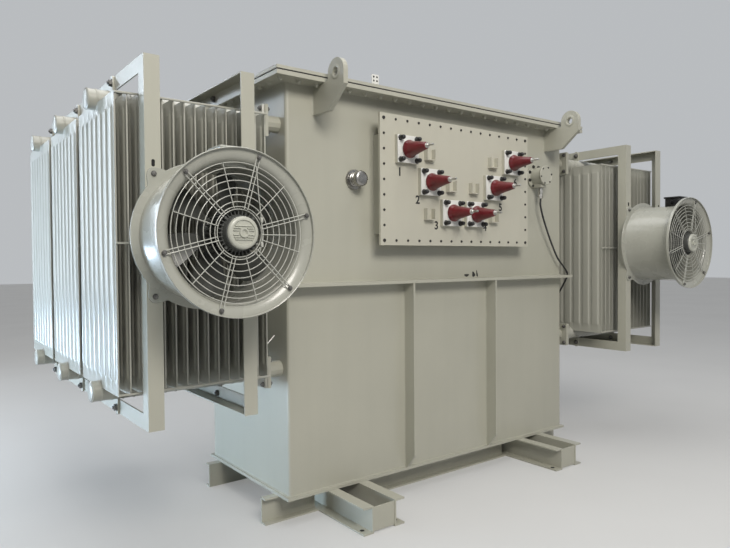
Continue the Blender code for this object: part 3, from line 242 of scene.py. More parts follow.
class Form:
    """A mesh under construction."""

    def __init__(self):
        self.bm = bmesh.new()

    def box(self, low, high):
        low, high = Vector(low), Vector(high)
        low, high = (Vector([min(a, b) for a, b in zip(low, high)]),
                     Vector([max(a, b) for a, b in zip(low, high)]))
        made = bmesh.ops.create_cube(self.bm, size=1.0)["verts"]
        bmesh.ops.scale(self.bm, vec=high - low, verts=made)
        bmesh.ops.translate(self.bm, vec=(low + high) / 2, verts=made)
        return made

    def soft_box(self, low, high, radius, segments=2):
        made = self.box(low, high)
        edges = list(dict.fromkeys(edge for vert in made for edge in vert.link_edges))
        bmesh.ops.bevel(self.bm, geom=edges, offset=radius, segments=segments,
                        profile=0.5, affect="EDGES", clamp_overlap=True)

    def lathe(self, profile, place, axis=(0, 0, 1), steps=32, phase=0.0):
        """Turn (radius, height) points about an axis through place; ends on the axis close."""
        turn = Vector((0, 0, 1)).rotation_difference(Vector(axis).normalized()).to_matrix()
        place = Vector(place)
        rings = []
        for radius, height in profile:
            if radius < 1e-7:
                rings.append([self.bm.verts.new(place + turn @ Vector((0, 0, height)))])
                continue
            ring = []
            for step in range(steps):
                angle = phase + 2 * math.pi * step / steps
                spot = Vector((radius * math.cos(angle), radius * math.sin(angle), height))
                ring.append(self.bm.verts.new(place + turn @ spot))
            rings.append(ring)
        for near, far in zip(rings, rings[1:]):
            for step in range(steps):
                after = (step + 1) % steps
                corners = [near[step % len(near)], near[after % len(near)],
                           far[after % len(far)], far[step % len(far)]]
                unique = []
                for corner in corners:
                    if corner not in unique:
                        unique.append(corner)
                if len(unique) > 2:
                    self.bm.faces.new(unique)

    def rod(self, start, end, radius, steps=12, phase=0.0, chamfer=0.0):
        start, end = Vector(start), Vector(end)
        length = (end - start).length
        if chamfer:
            profile = [(0, 0), (radius, 0), (radius, length - chamfer),
                       (radius - chamfer, length), (0, length)]
        else:
            profile = [(0, 0), (radius, 0), (radius, length), (0, length)]
        self.lathe(profile, start, end - start, steps, phase)

    def hexagon(self, place, axis, radius, height, phase=0.0):
        self.lathe([(0, 0), (radius, 0), (radius, height * 0.8), (radius * 0.86, height),
                    (0, height)], place, axis, 6, phase)

    def bolt(self, place, axis, size, phase=0.0):
        """Washer, hexagon head or nut, and a short thread end."""
        axis = Vector(axis).normalized()
        place = Vector(place)
        self.lathe([(0, 0), (size * 1.15, 0), (size * 1.15, size * 0.2), (0, size * 0.2)],
                   place, axis, 14)
        self.hexagon(place + axis * size * 0.2, axis, size, size * 0.72, phase)
        self.lathe([(0, 0), (size * 0.5, 0), (size * 0.5, size * 0.34), (size * 0.4, size * 0.42),
                    (0, size * 0.42)], place + axis * size * 0.9, axis, 8)

    def bridge(self, near, far):
        """Faces between two closed rings of corners."""
        for corner in range(len(near)):
            after = (corner + 1) % len(near)
            self.bm.faces.new((near[corner], near[after], far[after], far[corner]))

    def tube(self, points, radius, steps=8, closed=False):
        """A round bar along points."""
        points = [Vector(point) for point in points]
        count = len(points)
        rings = []
        side = None
        for index, point in enumerate(points):
            if closed:
                along = points[(index + 1) % count] - points[index - 1]
            else:
                along = points[min(index + 1, count - 1)] - points[max(index - 1, 0)]
            along.normalize()
            if side is None:
                side = along.orthogonal().normalized()
            side = (side - along * side.dot(along)).normalized()
            other = along.cross(side)
            rings.append([
                self.bm.verts.new(point + radius * (math.cos(a) * side + math.sin(a) * other))
                for a in (2 * math.pi * k / steps for k in range(steps))])
        pairs = list(zip(rings, rings[1:]))
        if closed:
            pairs.append((rings[-1], rings[0]))
        for near, far in pairs:
            self.bridge(near, far)
        if not closed:
            self.bm.faces.new(rings[0][::-1])
            self.bm.faces.new(rings[-1])

    def ring(self, centre, radius, wire, turn, steps=72, sides=8):
        points = [Vector(centre) + turn @ Vector((radius * math.cos(a), radius * math.sin(a), 0.0))
                  for a in (2 * math.pi * k / steps for k in range(steps))]
        self.tube(points, wire, sides, closed=True)

    def slab(self, outline, low, high, axis):
        """A flat outline between two places on an axis (X or Y), given as (across, height)."""
        rings = []
        for place in (low, high):
            if axis == "X":
                rings.append([self.bm.verts.new((place, a, b)) for a, b in outline])
            else:
                rings.append([self.bm.verts.new((a, place, b)) for a, b in outline])
        self.bm.faces.new(rings[0])
        self.bm.faces.new(rings[1][::-1])
        self.bridge(rings[0], rings[1])

    def finish(self, name, material, body=ROOT, stands_for=(), angle=35.0):
        bmesh.ops.recalc_face_normals(self.bm, faces=self.bm.faces)
        mesh = bpy.data.meshes.new(name)
        self.bm.to_mesh(mesh)
        self.bm.free()
        mesh.materials.append(material)
        mesh.shade_smooth()
        mesh.set_sharp_from_angle(angle=math.radians(angle))
        thing = bpy.data.objects.new(name, mesh)
        bpy.context.scene.collection.objects.link(thing)
        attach(thing, body)
        if stands_for:
            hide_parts(*stands_for)
        return thing


def arc(low, high, steps):
    return [low + (high - low) * k / steps for k in range(steps + 1)]


# Cable from the gauge round the right-hand corner


def smooth_route(knots, steps):
    route = []
    for index in range(len(knots) - 1):
        before = knots[max(index - 1, 0)]
        start = knots[index]
        end = knots[index + 1]
        after = knots[min(index + 2, len(knots) - 1)]
        for step in range(steps):
            share = step / steps
            leave = (end - before) / 2
            arrive = (after - start) / 2
            square = share * share
            cube = square * share
            route.append(start * (2 * cube - 3 * square + 1) + leave * (cube - 2 * square + share)
                         + end * (3 * square - 2 * cube) + arrive * (cube - square))
    route.append(knots[-1])
    return route


CABLE_POINTS = (
    (-GAUGE_INSET, GLAND_OUT, 1.668), (-GAUGE_INSET, GLAND_OUT, 1.635), (-0.25, 0.05, 1.55),
    (-0.175, 0.045, 1.42), (-0.09, 0.04, 1.3), (-0.018, 0.042, 1.232),
    (0.032, 0.034, 1.182), (0.044, 0.0, 1.125),
    (0.056, -0.045, 1.065), (0.064, -0.09, 1.012), (0.06, -0.115, 1.001), (0.048, -0.12, 1.0),
)


def add_cable():
    knots = [Vector((HALF_LENGTH - GAUGE_INSET, FRONT - GLAND_OUT, 1.6817))]
    knots += [Vector((HALF_LENGTH + a, FRONT - b, c)) for a, b, c in CABLE_POINTS]
    knots.append(Vector((HALF_LENGTH + 0.0346, knots[-1].y, knots[-1].z)))
    route = smooth_route(knots, 6)
    curve = bpy.data.curves.new("gauge_lead", "CURVE")
    curve.dimensions = "3D"
    curve.bevel_depth = 0.006
    curve.bevel_resolution = 4
    curve.use_fill_caps = True
    spline = curve.splines.new("POLY")
    spline.points.add(len(route) - 1)
    for slot, point in zip(spline.points, route):
        slot.co = (*point, 1.0)
    curve.materials.append(RUBBER)
    thing = bpy.data.objects.new("gauge_lead", curve)
    bpy.context.scene.collection.objects.link(thing)
    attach(thing, ROOT)
    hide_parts("gauge_cable")


add_cable()


# Finishes of the solids that keep their own shape

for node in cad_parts:
    if node.startswith(("skid", "base", "tank", "rear_elbow", "mid_ledge", "stiffener", "lifting",
                        "panel_throat", "fan_frame", "wall_gauge")):
        dress(node, TANK)
dress("bushing_panel", PLATE)
dress("cover_gasket", GASKET)
dress("wall_plug", NICKEL)
dress("cover_tab", WHITE)
dress("cable_gland", STEEL)


# Radiators

FIN_WIDTH = 0.54
FIN_RISE = 0.578
FIN_MIDDLE = 1.357
HEADER_RISE = 0.596
HEADER_RADIUS = 0.0445
FIN_PITCH = 0.045
FIN_COUNT = 15
FIRST_FIN = 0.21
FIN_SEAM = 0.0018
RADIATOR_Y = [FRONT - 0.182 + FIN_WIDTH / 2 + 0.594 * k for k in range(3)]
PLACES = ("front", "middle", "rear")
SIDES = (("left", -1), ("right", 1))


def fin_section():
    """Half thickness across one pressed panel: welded edges and seven oil channels."""
    seam, channel, edge = FIN_SEAM, 0.007, 0.003
    points = [(-FIN_WIDTH / 2, edge), (-FIN_WIDTH / 2 + 0.004, seam)]
    margin = 0.016
    pitch = (FIN_WIDTH - 2 * margin) / 7
    for k in range(7):
        left = -FIN_WIDTH / 2 + margin + k * pitch
        for share, half in ((0.095, seam), (0.135, 0.55 * channel), (0.19, 0.92 * channel),
                            (0.26, channel), (0.74, channel), (0.81, 0.92 * channel),
                            (0.865, 0.55 * channel), (0.905, seam)):
            points.append((left + share * pitch, half))
    points += [(FIN_WIDTH / 2 - 0.004, seam), (FIN_WIDTH / 2, edge)]
    return points


def add_fin(form, x, y, section):
    seam = FIN_SEAM
    levels = [(-FIN_RISE, 0.0), (-FIN_RISE + 0.046, 0.0), (-FIN_RISE + 0.058, 0.85),
              (-FIN_RISE + 0.062, 1.0), (FIN_RISE - 0.062, 1.0), (FIN_RISE - 0.058, 0.85),
              (FIN_RISE - 0.046, 0.0), (FIN_RISE, 0.0)]
    loops = []
    for rise, share in levels:
        shape = [(across, min(half, seam + (half - seam) * share) if half > seam else half)
                 for across, half in section]
        near = [form.bm.verts.new((x - swell, y + across, FIN_MIDDLE + rise))
                for across, swell in shape]
        far = [form.bm.verts.new((x + swell, y + across, FIN_MIDDLE + rise))
               for across, swell in reversed(shape)]
        loops.append(near + far)
    for low, high in zip(loops, loops[1:]):
        form.bridge(low, high)
    count = len(section)
    for loop in (loops[0], loops[-1]):
        for k in range(count - 1):
            form.bm.faces.new((loop[k], loop[k + 1],
                               loop[2 * count - 2 - k], loop[2 * count - 1 - k]))


def add_radiator(side, sign, place, y):
    section = fin_section()
    form = Form()
    first = HALF_LENGTH + FIRST_FIN
    last = first + (FIN_COUNT - 1) * FIN_PITCH
    for k in range(FIN_COUNT):
        add_fin(form, sign * (first + k * FIN_PITCH), y, section)
    name = "radiator_fins_" + side + "_" + place
    node = "radiator_" + side + "_" + place
    form.finish(name, FIN, stands_for=(node,), angle=28.0)
    form = Form()
    start = HALF_LENGTH + 0.1023
    for rise in (-HEADER_RISE, HEADER_RISE):
        z = FIN_MIDDLE + rise
        length = last + 0.04 - start
        form.lathe([(0, 0), (HEADER_RADIUS - 0.002, 0), (HEADER_RADIUS - 0.002, length - 0.006),
                    (HEADER_RADIUS - 0.005, length - 0.002), (HEADER_RADIUS - 0.009, length),
                    (0, length)], (sign * start, y, z), (sign, 0, 0), 40)
        form.lathe([(HEADER_RADIUS - 0.003, 0), (HEADER_RADIUS, 0.002), (HEADER_RADIUS, 0.005),
                    (HEADER_RADIUS - 0.003, 0.008)],
                   (sign * (last + 0.03), y, z), (sign, 0, 0), 40)
        for k in range(FIN_COUNT):
            x = sign * (first + k * FIN_PITCH)
            form.lathe([(HEADER_RADIUS - 0.003, -0.006), (HEADER_RADIUS, -0.002),
                        (HEADER_RADIUS, 0.002), (HEADER_RADIUS - 0.003, 0.006)], (x, y, z),
                       (1, 0, 0), 28)
        form.soft_box((sign * start, y - 0.075, z - 0.075),
                      (sign * (start + 0.015), y + 0.075, z + 0.075), 0.006)
        form.lathe([(HEADER_RADIUS - 0.003, 0.015), (HEADER_RADIUS + 0.006, 0.015),
                    (HEADER_RADIUS + 0.001, 0.021), (HEADER_RADIUS - 0.003, 0.022)],
                   (sign * start, y, z), (sign, 0, 0), 32)
    form.finish("radiator_pipes_" + side + "_" + place, FIN)
    bars = Form()
    for edge in (-1, 1):
        face = y + edge * (FIN_WIDTH / 2)
        if place == "rear" and edge > 0:
            face -= 0.0072  # flush with the panels' edges, inside the solids' box
        for z in (FIN_MIDDLE + FIN_RISE - 0.006, FIN_MIDDLE + 0.005, FIN_MIDDLE - FIN_RISE + 0.006):
            bars.soft_box((sign * (first - 0.012), face, z - 0.004),
                          (sign * (last + 0.003), face + edge * 0.007, z + 0.004), 0.0012, 1)
    bars.finish("radiator_ties_" + side + "_" + place, FIN)
    fasteners = Form()
    for rise in (-HEADER_RISE, HEADER_RISE):
        z = FIN_MIDDLE + rise
        for a in (-0.056, 0.056):
            for b in (-0.056, 0.056):
                fasteners.bolt((sign * (start + 0.015), y + a, z + b), (sign, 0, 0), 0.011, a * 40)
                fasteners.bolt((sign * (start - 0.0173), y + a, z + b), (-sign, 0, 0),
                               0.011, b * 30)
    fasteners.finish("radiator_bolts_" + side + "_" + place, DULL)
    seals = Form()
    for rise in (-HEADER_RISE, HEADER_RISE):
        seals.lathe([(0.046, -0.0012), (0.07, -0.0012), (0.07, 0.0008), (0.046, 0.0008),
                     (0.046, -0.0012)], (sign * start, y, FIN_MIDDLE + rise), (sign, 0, 0), 32)
    seals.finish("radiator_seals_" + side + "_" + place, GASKET)


for side, sign in SIDES:
    for place, y in zip(PLACES, RADIATOR_Y):
        add_radiator(side, sign, place, y)


# Fans

FAN_X = HALF_LENGTH + 0.5413
FAN_Z = 1.3887
COWL_BACK = FRONT - 0.2954 - 0.0003
COWL_LENGTH = 0.33
COWL_RADIUS = 0.246
MOUTH_RADIUS = 0.299
TO_FRONT = Matrix.Rotation(math.pi / 2, 3, "X")
GUARD_RADII = [0.247, 0.2285, 0.207, 0.1841, 0.1577, 0.1341, 0.1098, 0.0927]
HUB_RING = 0.084
GUARD_DEPTH = COWL_LENGTH - 0.0155
BOLT_CIRCLE = 0.2796
WHEEL_TURN = math.radians(11.0)
BOLT_ANGLES = [math.radians(74.5 + 60 * k) for k in range(6)]


def fan_point(centre, across, up, out):
    """A place on the fan: across and up as seen from the front, out from the cowl's back."""
    return Vector((centre.x + across, centre.y - out, centre.z + up))


def add_cowl(side, centre):
    form = Form()
    sheet = 0.004
    cylinder = COWL_RADIUS + sheet
    start = COWL_LENGTH - 0.05
    rise = 0.034
    outer = []
    inner = []
    for angle in arc(0.0, math.pi / 2, 10):
        radius = cylinder + (MOUTH_RADIUS - cylinder) * (1 - math.cos(angle))
        outer.append((radius, start + rise * math.sin(angle)))
        inner.append((min(radius - sheet * math.cos(angle), MOUTH_RADIUS - sheet),
                      start + (rise + sheet) * math.sin(angle)))
    profile = [(MOUTH_RADIUS - sheet, COWL_LENGTH - 0.001), (MOUTH_RADIUS - 0.002, COWL_LENGTH),
               (MOUTH_RADIUS, COWL_LENGTH - 0.002)]
    profile += outer[::-1]
    profile += [(cylinder, 0.012), (cylinder + 0.003, 0.006), (0.268, 0.0055),
                (0.268, 0.0), (COWL_RADIUS, 0.0)]
    profile += inner
    profile.append(profile[0])
    form.lathe(profile, centre, FORWARD, 120)
    seam = [fan_point(centre, -math.sin(0.35) * cylinder, -math.cos(0.35) * cylinder, out)
            for out in arc(0.01, start, 8)]
    form.tube(seam, 0.0022, 6)
    form.finish("fan_shroud_" + side, FAN, stands_for=("fan_cowl_" + side,), angle=38.0)

    collar = Form()
    tab_angle = math.atan2(0.228, 0.195)
    tab_angles = [tab_angle, math.pi - tab_angle, math.pi + tab_angle, -tab_angle]
    rings = []
    for step in range(288):
        angle = 2 * math.pi * step / 288
        off = min(abs(math.remainder(angle - place, 2 * math.pi)) for place in tab_angles)
        swell = 0.0
        if off < 0.165:
            swell = 0.04 * (0.5 + 0.5 * math.cos(math.pi * off / 0.165)) ** 0.6
        reach = 0.284 + swell
        points = []
        for distance, out in ((0.2665, 0.0), (reach, 0.0), (reach, 0.0048), (reach - 0.0012, 0.006),
                              (0.2665, 0.006)):
            points.append(collar.bm.verts.new(fan_point(centre, distance * math.cos(angle),
                                                        distance * math.sin(angle), out)))
        rings.append(points)
    for near, far in zip(rings, rings[1:] + rings[:1]):
        collar.bridge(near, far)
    collar.finish("fan_collar_" + side, FAN, angle=38.0)

    case = Form()
    low_out, high_out = 0.17, 0.28
    lid = centre.z + 0.309
    case.soft_box((centre.x - 0.05, centre.y - high_out + 0.006, centre.z + 0.236),
                  (centre.x + 0.05, centre.y - low_out - 0.006, lid - 0.01), 0.006, 3)
    case.soft_box((centre.x - 0.056, centre.y - high_out, lid - 0.012),
                  (centre.x + 0.056, centre.y - low_out, lid), 0.004, 3)
    for sx in (-1, 1):
        for near, far, radius, steps in ((0.049, 0.07, 0.013, 6), (0.07, 0.082, 0.009, 16)):
            case.rod(fan_point(centre, sx * near, 0.272, 0.225),
                     fan_point(centre, sx * far, 0.272, 0.225), radius, steps)
    case.finish("fan_terminal_box_" + side, CAP if side == "right" else FAN)

    bolts = Form()
    for sx in (-1, 1):
        for sz in (-1, 1):
            bolts.bolt(fan_point(centre, sx * 0.195, sz * 0.228, 0.006), FORWARD, 0.0095, sx)
    for angle in BOLT_ANGLES:
        bolts.bolt(fan_point(centre, BOLT_CIRCLE * math.cos(angle), BOLT_CIRCLE * math.sin(angle),
                             GUARD_DEPTH + 0.0055), FORWARD, 0.008, angle)
    bolts.finish("fan_bolts_" + side, DULL)


def add_guard(side, centre):
    form = Form()
    for radius in GUARD_RADII + [HUB_RING]:
        form.ring(fan_point(centre, 0, 0, GUARD_DEPTH - 0.002), radius, 0.0018, TO_FRONT, 96, 8)
    for angle in BOLT_ANGLES:
        outward = Vector((math.cos(angle), 0.0, math.sin(angle)))
        across = Vector((-outward.z, 0.0, outward.x))
        route = []
        for distance in arc(0.086, BOLT_CIRCLE - 0.006, 6):
            route.append(outward * distance + across * 0.0066)
        for turn in arc(math.pi / 2, -math.pi / 2, 8)[1:-1]:
            route.append(outward * (BOLT_CIRCLE + 0.007 * math.cos(turn))
                         + across * (0.0075 * math.sin(turn)))
        for distance in arc(BOLT_CIRCLE - 0.006, 0.086, 6):
            route.append(outward * distance - across * 0.0066)
        points = [fan_point(centre, p.x, p.z, GUARD_DEPTH + 0.0022) for p in route]
        form.tube(points, 0.0019, 8)
    for angle in BOLT_ANGLES:
        middle = angle + math.pi / 6
        points = [fan_point(centre, d * math.cos(middle), d * math.sin(middle),
                            GUARD_DEPTH + 0.002)
                  for d in arc(0.088, GUARD_RADII[0] + 0.002, 4)]
        form.tube(points, 0.0018, 8)
    points = [fan_point(centre, d, -0.004, GUARD_DEPTH + 0.002) for d in arc(0.083, 0.226, 4)]
    form.tube(points, 0.0018, 8)
    form.finish("fan_grille_" + side, WIRE, stands_for=("fan_guard_" + side,))
    lead = Form()
    route = [(0.064, 0.236, 0.005), (0.067, 0.19, 0.006), (0.072, 0.13, 0.006),
             (0.08, 0.07, 0.005), (0.083, 0.04, 0.004), (0.084, 0.0, 0.004),
             (0.083, -0.04, 0.004), (0.076, -0.066, 0.0)]
    lead.tube([fan_point(centre, a, b, GUARD_DEPTH + c) for a, b, c in route], 0.0019, 8)
    for up in (0.048, -0.04):
        lead.soft_box(fan_point(centre, 0.0785, up - 0.009, GUARD_DEPTH - 0.002),
                      fan_point(centre, 0.0885, up + 0.009, GUARD_DEPTH + 0.008), 0.002)
    lead.finish("fan_lead_" + side, WIRE)


def add_motor(side, centre):
    form = Form()
    top = COWL_LENGTH + 0.022
    body_top = GUARD_DEPTH - 0.004
    form.lathe([(0, top - 0.006), (0.008, top - 0.006), (0.0085, top - 0.004),
                (0.011, top - 0.004), (0.0115, top - 0.0005), (0.0165, top - 0.0005),
                (0.0175, top - 0.007),
                (0.0425, top - 0.008), (0.044, top - 0.004), (0.05, top - 0.0036),
                (0.055, top - 0.0065), (0.0575, top - 0.01), (0.058, top - 0.016),
                (0.054, top - 0.018), (0, top - 0.018)],
               centre, FORWARD, 72)
    for k in (-3, -2, -1, 1, 2, 3):
        z = k * 0.0078
        reach = math.sqrt(0.0405 ** 2 - z * z)
        inside = math.sqrt(max(0.02 ** 2 - z * z, 0.0))
        for sx in (-1, 1):
            form.soft_box(fan_point(centre, sx * inside, z - 0.0017, top - 0.009),
                          fan_point(centre, sx * reach, z + 0.0017, top - 0.003), 0.0008, 1)
    form.finish("fan_motor_cap_" + side, MOTOR, stands_for=("fan_motor_" + side,))
    body = Form()
    body.lathe([(0, top - 0.017), (0.056, top - 0.017), (0.06, top - 0.021),
                (0.062, body_top - 0.006), (0.066, body_top - 0.01),
                (0.066, 0.18), (0.06, 0.177), (0, 0.177)],
               centre, FORWARD, 48)
    for k in range(32):
        angle = 2 * math.pi * k / 32
        outward = Vector((math.cos(angle), 0.0, math.sin(angle)))
        across = Vector((-outward.z, 0.0, outward.x)) * 0.0014
        near = []
        far = []
        for distance, out in ((0.06, 0.19), (0.083, 0.19), (0.083, body_top - 0.012),
                              (0.076, body_top - 0.004), (0.06, body_top - 0.004)):
            spot = outward * distance
            for ring, half in ((near, across), (far, -across)):
                ring.append(body.bm.verts.new(
                    fan_point(centre, spot.x + half.x, spot.z + half.z, out)))
        body.bm.faces.new(near)
        body.bm.faces.new(far[::-1])
        body.bridge(near, far)
    for k in range(4):
        angle = math.pi / 4 + k * math.pi / 2
        spot = (0.074 * math.cos(angle), 0.074 * math.sin(angle))
        body.hexagon(fan_point(centre, spot[0], spot[1], body_top - 0.004), FORWARD,
                     0.006, 0.008)
    body.finish("fan_motor_body_" + side, CASTING)


def add_impeller(side, centre, body_name):
    form = Form()
    hub_top = COWL_LENGTH + 0.022 - 0.175 - 0.012
    middle = hub_top - 0.04
    form.lathe([(0, hub_top + 0.008), (0.012, hub_top + 0.008), (0.012, hub_top), (0.06, hub_top),
                (0.068, hub_top - 0.004), (0.07, hub_top - 0.012), (0.07, hub_top - 0.08),
                (0, hub_top - 0.08)], centre, FORWARD, 64)
    tip_radius = COWL_RADIUS - 0.016
    for k in range(6):
        base = k * math.pi / 3 + WHEEL_TURN
        rows = []
        for share in arc(0.0, 1.0, 18):
            radius = 0.066 + (tip_radius - 0.066) * share
            chord = 0.056 + 0.078 * math.sin(min(share * 1.15, 1.0) * math.pi / 2)
            to_tip = (tip_radius - radius) / 0.03
            if to_tip < 1.0:
                chord -= 0.044 * (1.0 - math.sqrt(max(1.0 - (1.0 - to_tip) ** 2, 0.0)))
            pitch = math.radians(50.0 - 22.0 * share)
            lean = 0.16 * share
            row = []
            for along in arc(-0.5, 0.5, 8):
                camber = 0.1 * chord * (0.25 - along * along) * 4 * 0.5
                across = along * chord * math.cos(pitch) - camber * math.sin(pitch)
                height = along * chord * math.sin(pitch) + camber * math.cos(pitch)
                sweep = base + lean + across / radius
                row.append((radius * math.cos(sweep), radius * math.sin(sweep), middle + height))
            rows.append(row)
        top, low = ([[form.bm.verts.new(fan_point(centre, a, b, c + half)) for a, b, c in row]
                     for row in rows] for half in (0.0015, -0.0015))
        for i in range(len(rows) - 1):
            for j in range(8):
                form.bm.faces.new((top[i][j], top[i][j + 1], top[i + 1][j + 1], top[i + 1][j]))
                form.bm.faces.new((low[i][j], low[i + 1][j], low[i + 1][j + 1], low[i][j + 1]))
            for j in (0, 8):
                form.bm.faces.new((top[i][j], top[i + 1][j], low[i + 1][j], low[i][j]))
        for i in (0, len(rows) - 1):
            for j in range(8):
                form.bm.faces.new((top[i][j], low[i][j], low[i][j + 1], top[i][j + 1]))
    form.finish("fan_wheel_" + side, BLADE, body_name,
                stands_for=("fan_impeller_" + side,))


for side, sign in SIDES:
    centre = Vector((sign * FAN_X, COWL_BACK, FAN_Z))
    add_cowl(side, centre)
    add_guard(side, centre)
    add_motor(side, centre)
    add_impeller(side, centre, side + "_impeller")


# Bushings

PANEL_LOW, PANEL_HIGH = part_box("bushing_panel")
PANEL_FACE = FRONT - 0.1
PANEL_X = (PANEL_LOW.x + PANEL_HIGH.x) / 2


def add_bushing(name, x, z):
    seat = PANEL_FACE - 0.0183
    half = 0.0725
    flange = Form()
    flange.soft_box((x - half, seat - 0.009, z - half), (x + half, seat, z + half), 0.0035, 3)
    flange.lathe([(0.05, 0.0085), (0.05, 0.013), (0.046, 0.015), (0.04, 0.015)],
                 (x, seat, z), FORWARD, 40)
    flange.finish("flange_" + name, WHITE, stands_for=("bushing_" + name,))
    cone = Form()
    cone.lathe([(0, 0.014), (0.0475, 0.014), (0.0485, 0.018), (0.047, 0.024), (0.0425, 0.031),
                (0.0395, 0.036), (0.038, 0.044), (0.0195, 0.141), (0.018, 0.146),
                (0.015, 0.148), (0, 0.148)], (x, seat, z), FORWARD, 48)
    cone.finish("cone_" + name, EPOXY)
    tip = Form()
    tip.lathe([(0, 0.146), (0.014, 0.146), (0.014, 0.1515), (0.0125, 0.1535), (0.009, 0.154),
               (0.009, 0.162), (0.0075, 0.1635), (0.006, 0.164), (0.006, 0.194),
               (0.0045, 0.1975), (0, 0.1975)], (x, seat, z), FORWARD, 28)
    tip.finish("pin_" + name, STEEL)
    caps = Form()
    for a in (-1, 1):
        for b in (-1, 1):
            caps.lathe([(0, 0.008), (0.015, 0.008), (0.015, 0.012), (0.0125, 0.014),
                        (0.0122, 0.032), (0.0105, 0.039), (0.006, 0.043), (0, 0.044)],
                       (x + a * 0.056, seat, z + b * 0.056), FORWARD, 24)
    caps.finish("caps_" + name, CAP)


ROWS = (("low", 0.094, 1.549), ("middle", 0.256, 1.71), ("high", 0.418, 1.871))
for side, sign in SIDES:
    for row, offset, z in ROWS:
        add_bushing(side + "_" + row, PANEL_X + sign * offset, z)


def add_numerals():
    """Plain numerals beside the bushings."""
    spots = {
        "1": (-0.458, 1.752), "2": (-0.333, 1.611), "3": (-0.196, 1.477),
        "4": (0.196, 1.477), "5": (0.333, 1.6), "6": (0.47, 1.758),
    }
    for text, (x, z) in spots.items():
        curve = bpy.data.curves.new("numeral", "FONT")
        curve.body = text
        curve.size = 0.062
        curve.offset = 0.0016
        curve.extrude = 0.0002
        curve.align_x = "CENTER"
        curve.align_y = "CENTER"
        source = bpy.data.objects.new("numeral", curve)
        bpy.context.scene.collection.objects.link(source)
        bpy.context.view_layer.update()
        graph = bpy.context.evaluated_depsgraph_get()
        mesh = bpy.data.meshes.new_from_object(source.evaluated_get(graph))
        bpy.data.objects.remove(source)
        mesh.transform(Matrix.Translation((PANEL_X + x, PANEL_FACE - 0.0004, z))
                       @ Matrix.Rotation(math.pi / 2, 4, "X"))
        mesh.materials.clear()
        mesh.materials.append(INK)
        thing = bpy.data.objects.new("numeral_" + text, mesh)
        bpy.context.scene.collection.objects.link(thing)
        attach(thing, ROOT)


add_numerals()


def add_panel_screws():
    form = Form()
    inset = 0.025
    low_x, high_x = PANEL_LOW.x + inset, PANEL_HIGH.x - inset
    low_z, high_z = PANEL_LOW.z + inset, PANEL_HIGH.z - inset
    spots = []
    for x in arc(low_x, high_x, 14):
        spots += [(x, low_z), (x, high_z)]
    for z in arc(low_z, high_z, 8)[1:-1]:
        spots += [(low_x, z), (high_x, z)]
    for x, z in spots:
        corner = x in (low_x, high_x) and z in (low_z, high_z)
        size = 1.35 if corner else 1.0
        form.lathe([(0, 0), (0.0072 * size, 0), (0.0072 * size, 0.0012), (0.0056 * size, 0.0042),
                    (0.0034 * size, 0.0046), (0.003 * size, 0.002), (0, 0.002)],
                   (x, PANEL_FACE, z), FORWARD, 12)
    form.finish("panel_screws", SCREW)


add_panel_screws()


# Cover bolts, nuts under the flange and welds


def rim_places():
    """Bolt places round the cover's rim, missing the lifting lugs."""
    inset = 0.04
    half_x = COVER_HIGH.x - inset
    low_y, high_y = COVER_LOW.y + inset, COVER_HIGH.y - inset
    places = []
    for x in arc(-half_x, half_x, 23):
        if abs(abs(x) - LUG_X) < 0.03:
            continue
        places += [(x, low_y), (x, high_y)]
    for y in arc(low_y, high_y, 10)[1:-1]:
        places += [(-half_x, y), (half_x, y)]
    return places


def add_cover_bolts():
    """Painted heads above the cover and painted nuts under the tank's flange."""
    form = Form()
    top = COVER_HIGH.z
    under = TANK_TOP - 0.02
    for index, (x, y) in enumerate(rim_places()):
        for z, up, height, turn in ((top, 1, 0.008, 0.7), (under, -1, 0.01, 1.3)):
            form.lathe([(0, 0), (0.0165, 0), (0.0165, 0.002), (0.015, 0.003), (0, 0.003)],
                       (x, y, z), (0, 0, up), 14)
            form.hexagon((x, y, z + up * 0.003), (0, 0, up), 0.0125, height, index * turn)
        form.lathe([(0, 0), (0.0068, 0), (0.0068, 0.005), (0.005, 0.0065), (0, 0.0065)],
                   (x, y, under - 0.012), (0, 0, -1), 10)
    form.finish("cover_bolts", TANK)


add_cover_bolts()


def add_welds():
    """Fillet runs where plates meet the walls."""
    form = Form()
    bead = 0.0035
    under = TANK_TOP - 0.02
    loop = [(-HALF_LENGTH + 0.012, FRONT), (HALF_LENGTH - 0.012, FRONT),
            (HALF_LENGTH, FRONT + 0.012), (HALF_LENGTH, BACK - 0.012),
            (HALF_LENGTH - 0.012, BACK), (-HALF_LENGTH + 0.012, BACK),
            (-HALF_LENGTH, BACK - 0.012), (-HALF_LENGTH, FRONT + 0.012)]
    for z in (BASE_HIGH.z + 0.001, under):
        form.tube([(x, y, z) for x, y in loop], bead, 6, closed=True)
    low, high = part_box("mid_ledge_front")
    for wall in (FRONT, BACK):
        for z in (low.z, high.z):
            form.tube([(-HALF_LENGTH, wall, z), (HALF_LENGTH, wall, z)], bead * 0.8, 6)
        for x in (-STIFFENER_X, STIFFENER_X):
            for edge in (-0.0065, 0.0065):
                form.tube([(x + edge, wall, BASE_HIGH.z), (x + edge, wall, low.z)], bead * 0.8, 6)
        for x in (-LUG_X, LUG_X):
            for edge in (-0.0135, 0.0135):
                form.tube([(x + edge, wall, under - 0.14), (x + edge, wall, under)], bead, 6)
    form.finish("weld_runs", TANK)


add_welds()


# Lifting lugs: cheek rings round the holes


